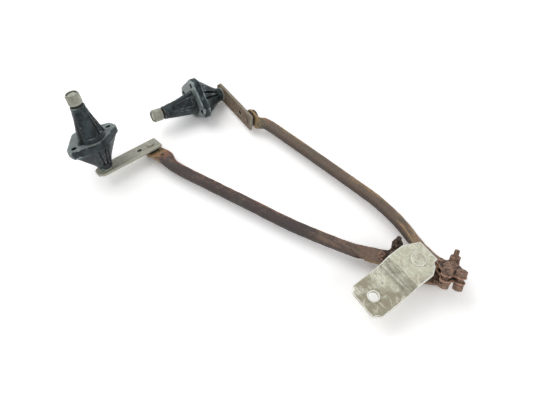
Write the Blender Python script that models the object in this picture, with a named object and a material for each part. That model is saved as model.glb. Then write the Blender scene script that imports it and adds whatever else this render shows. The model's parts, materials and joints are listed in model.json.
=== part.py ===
"""Windscreen wiper linkage, taken off its vehicle.

Two wiper pivots (a die-cast housing with a shaft, a knurled driver and a lever) are each
joined by a bent tube to one motor crank. Each tube is pressed flat at both ends. At the
lever it turns on a pin and a rubber bush. At the crank it is held in a bolted socket that
grips a ball stud. The crank is a cranked plate with a pillar that carries a lower plate
with the two ball studs. It is modelled as it lies on a bench, with +Z up.
"""

import math

import bmesh
import bpy
from mathutils import Matrix, Vector

MM = 0.001
GAP = 0.3 * MM
"""Clearance between pieces that touch on the real linkage."""

# Segments of round pieces

ROUND = 20
FINE_ROUND = 24
SMALL_ROUND = 12

# Wiper pivot: heights are measured along the shaft from the lever's upper face

SHAFT_RADIUS = 4.5 * MM
BUSH_WALL = 1.1 * MM
BUSH_LENGTH = 13.0 * MM
HOUSING_FOOT = 2.2 * MM
FOOT_RADIUS = 8.0 * MM
FLANGE_TOP = 39.0 * MM
FLANGE_THICKNESS = 9.0 * MM
FLANGE_HUB_RADIUS = 17.0 * MM
LUG_HOLE_CIRCLE = 21.8 * MM
LUG_HALF_WIDTH = 6.4 * MM
LUG_CORNER = 2.6 * MM
WEB_SHRINK = 0.5 * MM
LUG_HOLE_RADIUS = 2.8 * MM
LUG_ANGLES = (191.0, 378.0, 470.0)
"""Directions of the three fixing lugs, in degrees round the shaft from the lever."""
TOWER_HEIGHT = 37.4 * MM
TOWER_TOP_RADIUS = 7.5 * MM
TOWER_BASE_RADIUS = 12.4 * MM
TOWER_COLLAR = 5.0 * MM
PANEL_DEPTH = 1.7 * MM
PANEL_LEDGE = 4.5 * MM
RIB_THICKNESS = 4.0 * MM
GROOVE_WIDTH = 2.4 * MM
GROOVE_DEPTH = 3.2 * MM
PANEL_TURN = 254.0
SEAL_HEIGHT = 1.6 * MM
DRIVER_LENGTH = 11.6 * MM
DRIVER_RADIUS = 6.9 * MM
DRIVER_TEETH = 28
KNURL_DEPTH = 0.35 * MM
DRIVER_RECESS = 2.0 * MM
SHAFT_END_DEPTH = 1.0 * MM

# Lever, its pin and the rod's rubber bush

LEVER_WIDTH = 20.0 * MM
LEVER_THICKNESS = 3.0 * MM
LEVER_PIN_REACH = 53.4 * MM
LEVER_END_OVERHANG = 9.8 * MM
LEVER_HEEL = 11.6 * MM
LEVER_HEEL_CORNER = 5.2 * MM
LEVER_HOLE_SPACING = 13.4 * MM
LEVER_HOLE_RADIUS = 2.9 * MM
LEVER_HOLE_DEPTH = 2.3 * MM
LEVER_CORNER = 0.9 * MM
PIN_RADIUS = 3.6 * MM
PIN_HEAD_RADIUS = 4.2 * MM
PIN_HEAD_HEIGHT = 1.0 * MM
RUBBER_THICKNESS = 3.0 * MM
RUBBER_RADIUS = 9.0 * MM
RUBBER_WALL = 1.8 * MM
PIN_WASHER_THICKNESS = 2.0 * MM
PIN_WASHER_RADIUS = 7.8 * MM
STAKE_HEIGHT = 1.5 * MM
THRUST_WASHER_THICKNESS = 1.2 * MM

# Connecting rods

TUBE_RADIUS = 6.35 * MM
TUBE_WALL = 1.7 * MM
FLAT_HALF_WIDTH = 9.4 * MM
SOCKET_FLAT_REACH = 22.5 * MM
ROD_HOLE_REACH = 17.6 * MM
ROD_HOLE_RADIUS = 1.8 * MM
ROD_SIDES = 16
ROD_STEP = 8.0 * MM

# Bolted ball sockets

BALL_RADIUS = 5.4 * MM
SEAT_WALL = 1.0 * MM
SOCKET_SHEET = 1.9 * MM
SOCKET_HUB_RADIUS = 11.2 * MM
SOCKET_MOUTH_INNER = 6.4 * MM
SOCKET_MOUTH_OUTER = 7.1 * MM
SOCKET_ARM_HALF_WIDTH = 5.4 * MM
SOCKET_BOLT_CIRCLE = 15.0 * MM
SOCKET_RIVET_REACH = 13.0 * MM
SOCKET_ROD_ARM_REACH = 10.4 * MM
SOCKET_ROD_ARM_HALF_WIDTH = 6.8 * MM
BOLT_RADIUS = 2.6 * MM
BOLT_HEAD_FLATS = 9.0 * MM
BOLT_HEAD_HEIGHT = 3.4 * MM
TALL_BOLT_HEAD = 6.2 * MM
LOW_BOLT_HEAD = 1.6 * MM
NUT_FLATS = 9.6 * MM
NUT_HEIGHT = 4.6 * MM
BOLT_TAIL = 6.6 * MM
SHORT_BOLT_TAIL = 1.0 * MM
LEFT_BOLTS = ((BOLT_HEAD_HEIGHT, BOLT_TAIL), (BOLT_HEAD_HEIGHT, SHORT_BOLT_TAIL))
RIGHT_BOLTS = (
    (LOW_BOLT_HEAD, BOLT_TAIL), (TALL_BOLT_HEAD, SHORT_BOLT_TAIL), (TALL_BOLT_HEAD, SHORT_BOLT_TAIL),
)
"""Each free bolt's head height and tail, in the order of the sockets' arms."""
RIVET_HEAD_HEIGHT = 1.5 * MM
RIVET_HEAD_RADIUS = 3.6 * MM
RIVET_RADIUS = 2.0 * MM
SOCKET_POINTS = 48

# Motor crank: heights are above the bench

CRANK_THROW = 54.0 * MM
CRANK_HEADING = 36.9
CRANK_THICKNESS = 3.0 * MM
CRANK_TOP = 36.0 * MM
CRANK_JOGGLE = 8.0 * MM
JOGGLE_SPACING = 18.0 * MM
JOGGLE_RUN = 14.0 * MM
BEND_SHARE = 0.16
CRANK_HALF_WIDTH = 19.2 * MM
CRANK_MOTOR_END = 13.6 * MM
CRANK_PIN_END = 14.6 * MM
MOTOR_HOLE_RADIUS = 4.6 * MM
MOTOR_RIM_RADIUS = 5.7 * MM
MOTOR_RIM_HEIGHT = 0.5 * MM
PILLAR_RADIUS = 4.4 * MM
PILLAR_SHOULDER_RADIUS = 6.4 * MM
PILLAR_SHOULDER_HEIGHT = 3.0 * MM
PILLAR_HEAD_RADIUS = 7.6 * MM
PILLAR_HEAD_HEIGHT = 0.9 * MM
PILLAR_DIMPLE_RADIUS = 1.8 * MM
CARRIER_BOTTOM = 1.5 * MM
CARRIER_THICKNESS = 3.5 * MM
CARRIER_BOSS_RADIUS = 7.4 * MM
STUD_COLLAR_RADIUS = 5.0 * MM
STUD_COLLAR_HEIGHT = 2.6 * MM
STUD_SHANK_RADIUS = 4.0 * MM
STUD_NECK_RADIUS = 2.2 * MM
RIVET_FOOT_RADIUS = 5.6 * MM

# Where the pieces lie on the bench

PILLAR_PLACE = Vector((138.5, -86.1, 0.0)) * MM
LEFT_BALL = Vector((122.8, -77.8, 16.5)) * MM
RIGHT_BALL = Vector((170.4, -91.3, 22.0)) * MM
LEFT_SHAFT = Vector((-170.2, 29.9, 17.1)) * MM
RIGHT_SHAFT = Vector((-53.1, 141.6, 11.8)) * MM
LEFT_SHAFT_AZIMUTH = 120.7
LEFT_SHAFT_ELEVATION = 70.5
LEFT_LEVER_TURN = -172.5
RIGHT_SHAFT_AZIMUTH = -146.8
RIGHT_SHAFT_ELEVATION = 9.1
RIGHT_LEVER_TURN = 5.3
RIGHT_HOUSING_TURN = -10.5

# The rods' bent routes, from the lever to the crank, as points of the tube's centre line

LEFT_ROUTE = (
    (-99.1, 33.7, 14.6),
    (-59.2, 9.8, 14.6),
    (-18.9, -13.5, 14.8),
    (23.4, -38.2, 15.2),
    (50.5, -51.8, 15.6),
    (78.8, -65.0, 16.4),
)
RIGHT_ROUTE = (
    (-1.0, 93.4, 13.8),
    (20.6, 75.4, 13.6),
    (64.9, 34.8, 14.0),
    (92.0, 9.6, 14.4),
    (112.0, -9.6, 14.6),
    (131.0, -32.0, 13.6),
)
LEFT_SOCKET_NORMAL = Vector((0.0, 0.2, 0.98))
RIGHT_SOCKET_NORMAL = Vector((0.11, 0.57, 0.814))
LEFT_ROD_LEAVE = Vector((13.1, -10.6, 5.6))
RIGHT_ROD_LEAVE = Vector((0.547, -0.837, 0.0))
LEFT_FLAT_RUN = 19.5 * MM
RIGHT_FLAT_RUN = 9.0 * MM
LEFT_ROD_HEADING = 164.0
RIGHT_ROD_HEADING = 110.0
LEFT_SOCKET_ARMS = (-87.0, 100.0)
RIGHT_SOCKET_ARMS = (-58.0, 170.0, 120.0)
"""Directions of the sockets' free bolts, in degrees round the ball from the rod."""

# Sizes that follow from the ones above

BUSH_BORE = SHAFT_RADIUS + GAP
BUSH_RADIUS = BUSH_BORE + BUSH_WALL
HOUSING_BORE = BUSH_RADIUS + GAP
HOUSING_TOP = FLANGE_TOP + TOWER_HEIGHT
DRIVER_BOTTOM = HOUSING_TOP + SEAL_HEIGHT + GAP
DRIVER_TOP = DRIVER_BOTTOM + DRIVER_LENGTH
LEVER_BOTTOM = -LEVER_THICKNESS
RUBBER_TOP = LEVER_BOTTOM - GAP
RUBBER_BOTTOM = RUBBER_TOP - RUBBER_THICKNESS
JOGGLE_END = CRANK_THROW - JOGGLE_SPACING
JOGGLE_START = JOGGLE_END - JOGGLE_RUN
ROD_FLAT = 2.0 * TUBE_WALL
ROD_TOP = RUBBER_BOTTOM - GAP
ROD_BOTTOM = ROD_TOP - ROD_FLAT
ROD_MIDDLE = (ROD_TOP + ROD_BOTTOM) / 2.0
PIN_WASHER_TOP = ROD_BOTTOM - GAP
PIN_WASHER_BOTTOM = PIN_WASHER_TOP - PIN_WASHER_THICKNESS
RUBBER_BORE = PIN_RADIUS + GAP
RUBBER_NECK = RUBBER_BORE + RUBBER_WALL
ROD_EYE = RUBBER_NECK + GAP
SEAT_INNER = BALL_RADIUS + GAP
SEAT_OUTER = SEAT_INNER + SEAT_WALL
DOME_INNER = SEAT_OUTER + GAP
DOME_OUTER = DOME_INNER + SOCKET_SHEET
SOCKET_FACE = ROD_FLAT / 2.0 + GAP
SOCKET_BACK = SOCKET_FACE + SOCKET_SHEET
ROD_TIP = DOME_INNER + GAP
CARRIER_TOP = CARRIER_BOTTOM + CARRIER_THICKNESS
CRANK_BOTTOM = CRANK_TOP - CRANK_THICKNESS


# Materials

def material(name, colour, roughness, metallic):
    """A Principled material, made once and shared."""
    found = bpy.data.materials.get(name)
    if found:
        return found
    made = bpy.data.materials.new(name)
    made.use_nodes = True
    shader = made.node_tree.nodes["Principled BSDF"]
    shader.inputs["Base Color"].default_value = (*colour, 1.0)
    shader.inputs["Roughness"].default_value = roughness
    shader.inputs["Metallic"].default_value = metallic
    return made


FINISHES = {
    "dark_casting": ((0.035, 0.045, 0.05), 0.5, 0.4),
    "bright_steel": ((0.42, 0.41, 0.34), 0.35, 0.9),
    "zinc_plate": ((0.45, 0.46, 0.36), 0.45, 0.6),
    "lever_steel": ((0.30, 0.28, 0.22), 0.5, 0.6),
    "rusty_tube": ((0.09, 0.06, 0.05), 0.7, 0.3),
    "rusty_steel": ((0.20, 0.10, 0.075), 0.85, 0.2),
    "black_rubber": ((0.015, 0.015, 0.015), 0.8, 0.0),
    "bronze": ((0.35, 0.25, 0.12), 0.45, 0.8),
    "nylon": ((0.5, 0.47, 0.4), 0.5, 0.0),
}


def finish(name):
    """The material of a named finish."""
    return material(name, *FINISHES[name])


# Frames

def axes(x_axis, z_axis, origin):
    """A right-handed frame with its z along z_axis and its x as near x_axis as it can be."""
    z = z_axis.normalized()
    x = (x_axis - x_axis.dot(z) * z).normalized()
    y = z.cross(x)
    frame = Matrix((x, y, z)).transposed().to_4x4()
    frame.translation = origin
    return frame


def shaft_frame(place, azimuth, elevation, lever_turn):
    """The frame of a pivot: z up its shaft, x along its lever."""
    azimuth = math.radians(azimuth)
    elevation = math.radians(elevation)
    turn = math.radians(lever_turn)
    shaft = Vector((
        math.cos(elevation) * math.cos(azimuth),
        math.cos(elevation) * math.sin(azimuth),
        math.sin(elevation),
    ))
    level = Vector((0.0, 0.0, 1.0)).cross(shaft).normalized()
    rising = shaft.cross(level)
    lever = math.cos(turn) * level + math.sin(turn) * rising
    return axes(lever, shaft, place)


class Body:
    """A moving body: an empty with its world frame."""

    def __init__(self, name, frame, parent=None):
        self.frame = frame
        self.empty = bpy.data.objects.new(name, None)
        self.empty.empty_display_size = 10.0 * MM
        bpy.context.collection.objects.link(self.empty)
        above = Matrix.Identity(4)
        if parent:
            self.empty.parent = parent.empty
            above = parent.frame
        self.empty.matrix_basis = above.inverted() @ frame

    def add(self, piece, offset=Matrix.Identity(4)):
        """Parent a piece to this body, at an offset in the body's frame."""
        piece.parent = self.empty
        piece.matrix_basis = offset
        return piece


# Mesh tools

def finished(name, mesh, material_name, smooth=True):
    """Turn a bmesh into a named object with its finish."""
    bmesh.ops.recalc_face_normals(mesh, faces=mesh.faces)
    data = bpy.data.meshes.new(name)
    mesh.to_mesh(data)
    mesh.free()
    if smooth:
        data.shade_smooth()
        data.set_sharp_from_angle(angle=math.radians(32.0))
    data.materials.append(finish(material_name))
    piece = bpy.data.objects.new(name, data)
    bpy.context.collection.objects.link(piece)
    return piece


def turned(name, profile, material_name, segments=ROUND):
    """Revolve a closed outline of (radius, height) points about Z."""
    mesh = bmesh.new()
    start = [mesh.verts.new((radius, 0.0, height)) for radius, height in profile]
    edges = [mesh.edges.new((start[k], start[(k + 1) % len(start)])) for k in range(len(start))]
    bmesh.ops.spin(
        mesh, geom=start + edges, cent=(0.0, 0.0, 0.0), axis=(0.0, 0.0, 1.0),
        angle=math.tau, steps=segments, use_merge=True,
    )
    bmesh.ops.remove_doubles(mesh, verts=mesh.verts, dist=0.001 * MM)
    loose = [face for face in mesh.faces if face.calc_area() < 1e-12]
    bmesh.ops.delete(mesh, geom=loose, context="FACES")
    flat = [edge for edge in mesh.edges if not edge.link_faces]
    bmesh.ops.delete(mesh, geom=flat, context="EDGES")
    return finished(name, mesh, material_name)


def extruded(name, outline, bottom, top, material_name, edge=0.0):
    """Extrude a closed outline of (x, y) points from bottom to top, with its rims broken."""
    mesh = bmesh.new()
    corners = [mesh.verts.new((x, y, bottom)) for x, y in outline]
    base = mesh.faces.new(corners)
    grown = bmesh.ops.extrude_face_region(mesh, geom=[base])
    lifted = [item for item in grown["geom"] if isinstance(item, bmesh.types.BMVert)]
    bmesh.ops.translate(mesh, verts=lifted, vec=(0.0, 0.0, top - bottom))
    if edge:
        rims = [e for e in mesh.edges if abs(e.verts[0].co.z - e.verts[1].co.z) < 1e-9]
        bmesh.ops.bevel(mesh, geom=rims, offset=edge, segments=1, affect="EDGES")
    return finished(name, mesh, material_name)


def fin(mesh, outline, thickness, turn):
    """Add to a bmesh an upright plate of (radius, height) points, turned about Z."""
    spin = Matrix.Rotation(math.radians(turn), 4, "Z")
    half = thickness / 2.0
    near = [mesh.verts.new(spin @ Vector((radius, -half, height))) for radius, height in outline]
    far = [mesh.verts.new(spin @ Vector((radius, half, height))) for radius, height in outline]
    count = len(outline)
    mesh.faces.new(near)
    mesh.faces.new(list(reversed(far)))
    for k in range(count):
        after = (k + 1) % count
        mesh.faces.new((near[after], near[k], far[k], far[after]))


def combine(piece, tool, operation):
    """Apply a Boolean of the piece with a tool, and remove the tool."""
    modifier = piece.modifiers.new("cut", "BOOLEAN")
    modifier.operation = operation
    modifier.solver = "EXACT"
    modifier.use_self = operation == "UNION"
    modifier.object = tool
    bpy.context.view_layer.update()
    graph = bpy.context.evaluated_depsgraph_get()
    solved = bpy.data.meshes.new_from_object(piece.evaluated_get(graph))
    piece.modifiers.clear()
    old = piece.data
    piece.data = solved
    bpy.data.meshes.remove(old)
    spent = tool.data
    bpy.data.objects.remove(tool)
    bpy.data.meshes.remove(spent)
    return piece


def drill(piece, holes, reach):
    """Drill round holes along Z, given as (x, y, radius), through a depth of reach each way."""
    mesh = bmesh.new()
    for x, y, radius in holes:
        bmesh.ops.create_cone(
            mesh, cap_ends=True, segments=SMALL_ROUND, radius1=radius, radius2=radius,
            depth=2.0 * reach, matrix=Matrix.Translation((x, y, 0.0)),
        )
    return combine(piece, finished("drill", mesh, "zinc_plate"), "DIFFERENCE")


def tidy_mesh(piece):
    """Weld what a Boolean leaves, and shade the piece's rounds smooth."""
    mesh = bmesh.new()
    mesh.from_mesh(piece.data)
    bmesh.ops.remove_doubles(mesh, verts=mesh.verts, dist=0.002 * MM)
    bmesh.ops.dissolve_degenerate(mesh, edges=mesh.edges, dist=0.002 * MM)
    mesh.to_mesh(piece.data)
    mesh.free()
    piece.data.shade_smooth()
    piece.data.set_sharp_from_angle(angle=math.radians(32.0))
    return piece


def arc(centre, radius, start, stop, steps):
    """Points along an arc, from start to stop degrees."""
    points = []
    for k in range(steps + 1):
        angle = math.radians(start + (stop - start) * k / steps)
        points.append((centre[0] + radius * math.cos(angle), centre[1] + radius * math.sin(angle)))
    return points


def arm_reach(away, length, half_width):
    """How far a round-ended arm reaches from the centre, at an angle away from its middle."""
    across = abs(math.sin(away))
    if math.cos(away) <= 0.0 and length * across > half_width:
        return 0.0
    if math.cos(away) > 0.0 and across * length <= half_width * math.cos(away):
        return length * math.cos(away) + math.sqrt(half_width**2 - (length * across) ** 2)
    return half_width / max(across, 1e-9) if math.cos(away) > 0.0 else half_width


def star_outline(hub, arms, points, softness=14.0):
    """An outline that blends a round hub and round-ended arms of (angle, length, half width)."""
    outline = []
    for k in range(points):
        angle = math.tau * k / points
        total = hub**softness
        for turn, length, half_width in arms:
            away = (angle - math.radians(turn) + math.pi) % math.tau - math.pi
            total += arm_reach(away, length, half_width) ** softness
        reach = total ** (1.0 / softness)
        outline.append((reach * math.cos(angle), reach * math.sin(angle)))
    return outline


def hexagon(flats):
    """The outline of a hexagon, by its width across flats."""
    corner = flats / math.sqrt(3.0)
    return [
        (corner * math.cos(math.radians(60.0 * k)), corner * math.sin(math.radians(60.0 * k)))
        for k in range(6)
    ]


# Wiper pivot

def housing_core():
    """The cast housing's turned core: foot, flange root and tower."""
    collar = HOUSING_TOP - TOWER_COLLAR
    return turned("housing_core", [
        (0.0, HOUSING_FOOT),
        (FOOT_RADIUS - 0.6 * MM, HOUSING_FOOT),
        (FOOT_RADIUS, HOUSING_FOOT + 0.6 * MM),
        (FOOT_RADIUS, HOUSING_FOOT + 5.0 * MM),
        (FOOT_RADIUS + 2.4 * MM, FLANGE_TOP - FLANGE_THICKNESS + 2.0 * MM),
        (TOWER_BASE_RADIUS + 1.2 * MM, FLANGE_TOP - 0.5 * MM),
        (TOWER_BASE_RADIUS + 1.2 * MM, FLANGE_TOP + 0.5 * MM),
        (TOWER_BASE_RADIUS, FLANGE_TOP + 1.8 * MM),
        (TOWER_TOP_RADIUS + 0.5 * MM, collar - 0.8 * MM),
        (TOWER_TOP_RADIUS, collar),
        (TOWER_TOP_RADIUS, HOUSING_TOP - 0.5 * MM),
        (TOWER_TOP_RADIUS - 0.5 * MM, HOUSING_TOP),
        (0.0, HOUSING_TOP),
    ], "dark_casting", FINE_ROUND)


def convex_hull(points):
    """The corners of the hull round some points, in turn."""
    ordered = sorted(set(points))
    halves = []
    for run in (ordered, list(reversed(ordered))):
        half = []
        for point in run:
            while len(half) > 1:
                ahead = (half[-1][0] - half[-2][0], half[-1][1] - half[-2][1])
                after = (point[0] - half[-1][0], point[1] - half[-1][1])
                if ahead[0] * after[1] - ahead[1] * after[0] > 1e-12:
                    break
                half.pop()
            half.append(point)
        halves += half[:-1]
    return halves


def hull_reach(hull, angle):
    """How far a hull that holds the origin reaches at an angle."""
    toward = (math.cos(angle), math.sin(angle))
    reach = math.inf
    for k, start in enumerate(hull):
        end = hull[(k + 1) % len(hull)]
        out = (end[1] - start[1], start[0] - end[0])
        facing = out[0] * toward[0] + out[1] * toward[1]
        if facing > 1e-12:
            reach = min(reach, (out[0] * start[0] + out[1] * start[1]) / facing)
    return reach


def lug_corners(angle, shrink):
    """A lug's outline: a square with rounded outer corners, drawn in by shrink."""
    half = LUG_HALF_WIDTH - shrink
    far = LUG_HOLE_CIRCLE + LUG_HALF_WIDTH - shrink
    corner = LUG_CORNER
    local = arc((far - corner, half - corner), corner, 90.0, 0.0, 3)
    local += arc((far - corner, corner - half), corner, 0.0, -90.0, 3)
    turn = math.radians(angle)
    cos = math.cos(turn)
    sin = math.sin(turn)
    return [(x * cos - y * sin, x * sin + y * cos) for x, y in local]


def flange_outline(shrink):
    """The flange's outline, drawn in by shrink: straight behind the lugs, an arc in front."""
    first, second, third = (lug_corners(angle, shrink) for angle in LUG_ANGLES)
    hub = arc((0.0, 0.0), FLANGE_HUB_RADIUS - shrink, 0.0, 350.0, 35)
    hulls = (convex_hull(second + third + hub), convex_hull(third + first + hub))
    angles = []
    for angle in sorted(math.atan2(y, x) for hull in hulls for x, y in hull):
        if not angles or angle - angles[-1] > math.radians(1.5):
            angles.append(angle)
    outline = []
    for angle in angles:
        reach = max(hull_reach(hull, angle) for hull in hulls)
        outline.append((reach * math.cos(angle), reach * math.sin(angle)))
    return outline


def housing_flange():
    """The three-lugged fixing flange."""
    return extruded(
        "housing_flange", flange_outline(0.0), FLANGE_TOP - FLANGE_THICKNESS, FLANGE_TOP,
        "dark_casting", 0.8 * MM,
    )


def housing_skirt():
    """The body under the flange, which draws in from the flange's outline to the round foot."""
    mesh = bmesh.new()
    top = flange_outline(WEB_SHRINK)
    low = HOUSING_FOOT + 4.0 * MM
    high = FLANGE_TOP - FLANGE_THICKNESS + 1.5 * MM
    levels = ((low, 0.0), (low + 5.0 * MM, 0.16), (high - 3.0 * MM, 0.84), (high, 1.0))
    rings = []
    for height, share in levels:
        ring = []
        for x, y in top:
            reach = math.hypot(x, y)
            radius = FOOT_RADIUS + 0.2 * MM + (reach - FOOT_RADIUS) * share
            ring.append(mesh.verts.new((x / reach * radius, y / reach * radius, height)))
        rings.append(ring)
    count = len(top)
    for lower, upper in zip(rings, rings[1:]):
        for k in range(count):
            after = (k + 1) % count
            mesh.faces.new((lower[k], lower[after], upper[after], upper[k]))
    mesh.faces.new(list(reversed(rings[0])))
    mesh.faces.new(rings[-1])
    return finished("housing_skirt", mesh, "dark_casting", smooth=False)


def tower_ribs():
    """The ribs that run up the tower from the lugs."""
    mesh = bmesh.new()
    root = 3.0 * MM
    for angle in LUG_ANGLES:
        fin(mesh, [
            (root, FLANGE_TOP - 2.0 * MM),
            (TOWER_BASE_RADIUS + 4.2 * MM, FLANGE_TOP - 2.0 * MM),
            (TOWER_BASE_RADIUS + 2.6 * MM, FLANGE_TOP + 3.0 * MM),
            (TOWER_TOP_RADIUS + 0.7 * MM, HOUSING_TOP - TOWER_COLLAR - 4.0 * MM),
            (root, HOUSING_TOP - TOWER_COLLAR - 4.0 * MM),
        ], RIB_THICKNESS, angle)
    return finished("tower_ribs", mesh, "dark_casting", smooth=False)


def groove_angles():
    """The directions of the skirt's grooves: two in front and a pair in each gap behind."""
    first, second, third = LUG_ANGLES
    front = (first + second) / 2.0
    angles = [front - 24.0, front + 1.0, front + 26.0]
    for middle in ((second + third) / 2.0, (third + first + 360.0) / 2.0):
        angles += [middle - 11.0, middle + 11.0]
    return angles


def skirt_grooves():
    """Narrow blocks that cut the grooves down the skirt."""
    mesh = bmesh.new()
    low = HOUSING_FOOT + 6.0 * MM
    high = FLANGE_TOP - FLANGE_THICKNESS - 1.0 * MM
    for angle in groove_angles():
        reach = FOOT_RADIUS + 30.0 * MM
        fin(mesh, [
            (FOOT_RADIUS - 1.2 * MM, low),
            (reach, low),
            (reach, high + 4.0 * MM),
            (FLANGE_HUB_RADIUS - WEB_SHRINK - GROOVE_DEPTH, high),
        ], GROOVE_WIDTH, angle)
    return finished("skirt_grooves", mesh, "dark_casting", smooth=False)


def panel_cutter():
    """Tapered blocks that leave flat sunk panels between the tower's ribs."""
    mesh = bmesh.new()
    first, second, third = LUG_ANGLES
    low = FLANGE_TOP + PANEL_LEDGE
    high = HOUSING_TOP - TOWER_COLLAR - 5.0 * MM
    rise = (TOWER_BASE_RADIUS - TOWER_TOP_RADIUS) / (TOWER_HEIGHT - TOWER_COLLAR)
    near_low = TOWER_BASE_RADIUS - rise * PANEL_LEDGE - PANEL_DEPTH
    near_high = TOWER_TOP_RADIUS + rise * 5.0 * MM - PANEL_DEPTH * 0.6
    reach = TOWER_BASE_RADIUS + 8.0 * MM
    sides = (
        (PANEL_TURN, 12.6 * MM),
        (PANEL_TURN + 50.0, 3.4 * MM),
        (PANEL_TURN + 78.0, 4.4 * MM),
        ((second + third) / 2.0, 9.5 * MM),
        ((third + first + 360.0) / 2.0, 8.5 * MM),
    )
    for angle, width in sides:
        spin = Matrix.Rotation(math.radians(angle), 4, "Z")
        rings = []
        for height, near, share in ((low, near_low, 1.0), (high, near_high, 0.56)):
            half = width * share / 2.0
            rings.append([
                mesh.verts.new(spin @ Vector((x, y, height)))
                for x, y in ((near, -half), (reach, -half), (reach, half), (near, half))
            ])
        mesh.faces.new(rings[0])
        mesh.faces.new(list(reversed(rings[1])))
        for k in range(4):
            after = (k + 1) % 4
            mesh.faces.new((rings[0][after], rings[0][k], rings[1][k], rings[1][after]))
    return finished("panel_cutter", mesh, "dark_casting", smooth=False)


def lug_holes():
    """The lugs' fixing holes."""
    holes = []
    for angle in LUG_ANGLES:
        turn = math.radians(angle)
        holes.append((LUG_HOLE_CIRCLE * math.cos(turn), LUG_HOLE_CIRCLE * math.sin(turn), LUG_HOLE_RADIUS))
    return holes


def pivot_housing(name):
    """The die-cast housing: tower, flange with three lugs, grooved skirt and a through bore."""
    piece = housing_core()
    piece.name = name
    combine(piece, housing_flange(), "UNION")
    combine(piece, housing_skirt(), "UNION")
    combine(piece, tower_ribs(), "UNION")
    combine(piece, panel_cutter(), "DIFFERENCE")
    combine(piece, skirt_grooves(), "DIFFERENCE")
    drill(piece, lug_holes(), 2.0 * FLANGE_TOP)
    bore = bmesh.new()
    bmesh.ops.create_cone(
        bore, cap_ends=True, segments=FINE_ROUND, radius1=HOUSING_BORE, radius2=HOUSING_BORE,
        depth=4.0 * HOUSING_TOP,
    )
    combine(piece, finished("bore", bore, "dark_casting"), "DIFFERENCE")
    return tidy_mesh(piece)


def tube_piece(name, inner, outer, bottom, top, material_name, segments=ROUND, edge=0.25 * MM):
    """A plain ring or sleeve with its outer rims broken."""
    return turned(name, [
        (inner, bottom),
        (outer - edge, bottom),
        (outer, bottom + edge),
        (outer, top - edge),
        (outer - edge, top),
        (inner, top),
    ], material_name, segments)


def knurled_driver(name):
    """The knurled driver that the wiper arm grips, with a recess in its top."""
    crest = DRIVER_RADIUS
    root = DRIVER_RADIUS - KNURL_DEPTH
    bore = SHAFT_RADIUS + GAP
    levels = (
        (DRIVER_BOTTOM, -0.7 * MM),
        (DRIVER_BOTTOM + 0.7 * MM, 0.0),
        (DRIVER_TOP - 0.9 * MM, 0.0),
        (DRIVER_TOP, -0.9 * MM),
    )
    mesh = bmesh.new()
    rings = []
    count = 2 * DRIVER_TEETH

    def ring(radius_at, height):
        return [
            mesh.verts.new((
                radius_at(k) * math.cos(math.tau * k / count),
                radius_at(k) * math.sin(math.tau * k / count),
                height,
            ))
            for k in range(count)
        ]

    for height, grow in levels:
        rings.append(ring(lambda k, g=grow: (crest if k % 2 else root) + g, height))
    recess = bore + 0.8 * MM
    rings.append(ring(lambda k: recess, DRIVER_TOP))
    rings.append(ring(lambda k: recess, DRIVER_TOP - DRIVER_RECESS))
    rings.append(ring(lambda k: bore, DRIVER_TOP - DRIVER_RECESS))
    rings.append(ring(lambda k: bore, DRIVER_BOTTOM))
    for index, low in enumerate(rings):
        high = rings[(index + 1) % len(rings)]
        for k in range(count):
            after = (k + 1) % count
            mesh.faces.new((low[k], low[after], high[after], high[k]))
    return finished(name, mesh, "bright_steel")


def pivot_shaft(name):
    """The wiper shaft, shouldered on the lever and staked over beneath it."""
    stake = LEVER_BOTTOM - GAP - STAKE_HEIGHT
    top = DRIVER_TOP - SHAFT_END_DEPTH
    return turned(name, [
        (0.0, stake),
        (SHAFT_RADIUS + 0.8 * MM, stake),
        (SHAFT_RADIUS + 1.2 * MM, LEVER_BOTTOM - GAP),
        (SHAFT_RADIUS, LEVER_BOTTOM - GAP),
        (SHAFT_RADIUS, top - 0.6 * MM),
        (SHAFT_RADIUS - 0.6 * MM, top),
        (0.0, top),
    ], "bright_steel", FINE_ROUND)


# Lever and its pin, in the pin's frame: the shaft lies at -x

def lever(name):
    """The flat lever, with cut corners at the shaft and square at the pin end."""
    half = LEVER_WIDTH / 2.0
    end = LEVER_END_OVERHANG
    heel = -LEVER_PIN_REACH - LEVER_HEEL
    outline = [(heel + LEVER_HEEL_CORNER, half), (heel, half - LEVER_HEEL_CORNER)]
    outline += [(heel, -half + LEVER_HEEL_CORNER), (heel + LEVER_HEEL_CORNER, -half)]
    outline += [(end - LEVER_CORNER, -half), (end, -half + LEVER_CORNER)]
    outline += [(end, half - LEVER_CORNER), (end - LEVER_CORNER, half)]
    piece = extruded(name, outline, LEVER_BOTTOM, 0.0, "lever_steel", 0.3 * MM)
    drill(piece, (
        (-LEVER_PIN_REACH, 0.0, SHAFT_RADIUS + GAP),
        (0.0, 0.0, PIN_RADIUS + GAP),
    ), 10.0 * MM)
    drill(piece, [(-LEVER_HOLE_SPACING, 0.0, LEVER_HOLE_RADIUS)], LEVER_HOLE_DEPTH)
    return tidy_mesh(piece)


def lever_pin(name):
    """The pin that the rod turns on, riveted flush over the lever and staked at its foot."""
    foot = PIN_WASHER_BOTTOM - GAP
    return turned(name, [
        (0.0, foot - STAKE_HEIGHT),
        (PIN_RADIUS + 0.6 * MM, foot - STAKE_HEIGHT),
        (PIN_RADIUS + 1.4 * MM, foot),
        (PIN_RADIUS, foot),
        (PIN_RADIUS, GAP),
        (PIN_HEAD_RADIUS, GAP),
        (PIN_HEAD_RADIUS - 0.4 * MM, GAP + PIN_HEAD_HEIGHT),
        (0.0, GAP + PIN_HEAD_HEIGHT * 1.3),
    ], "lever_steel", FINE_ROUND)


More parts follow.
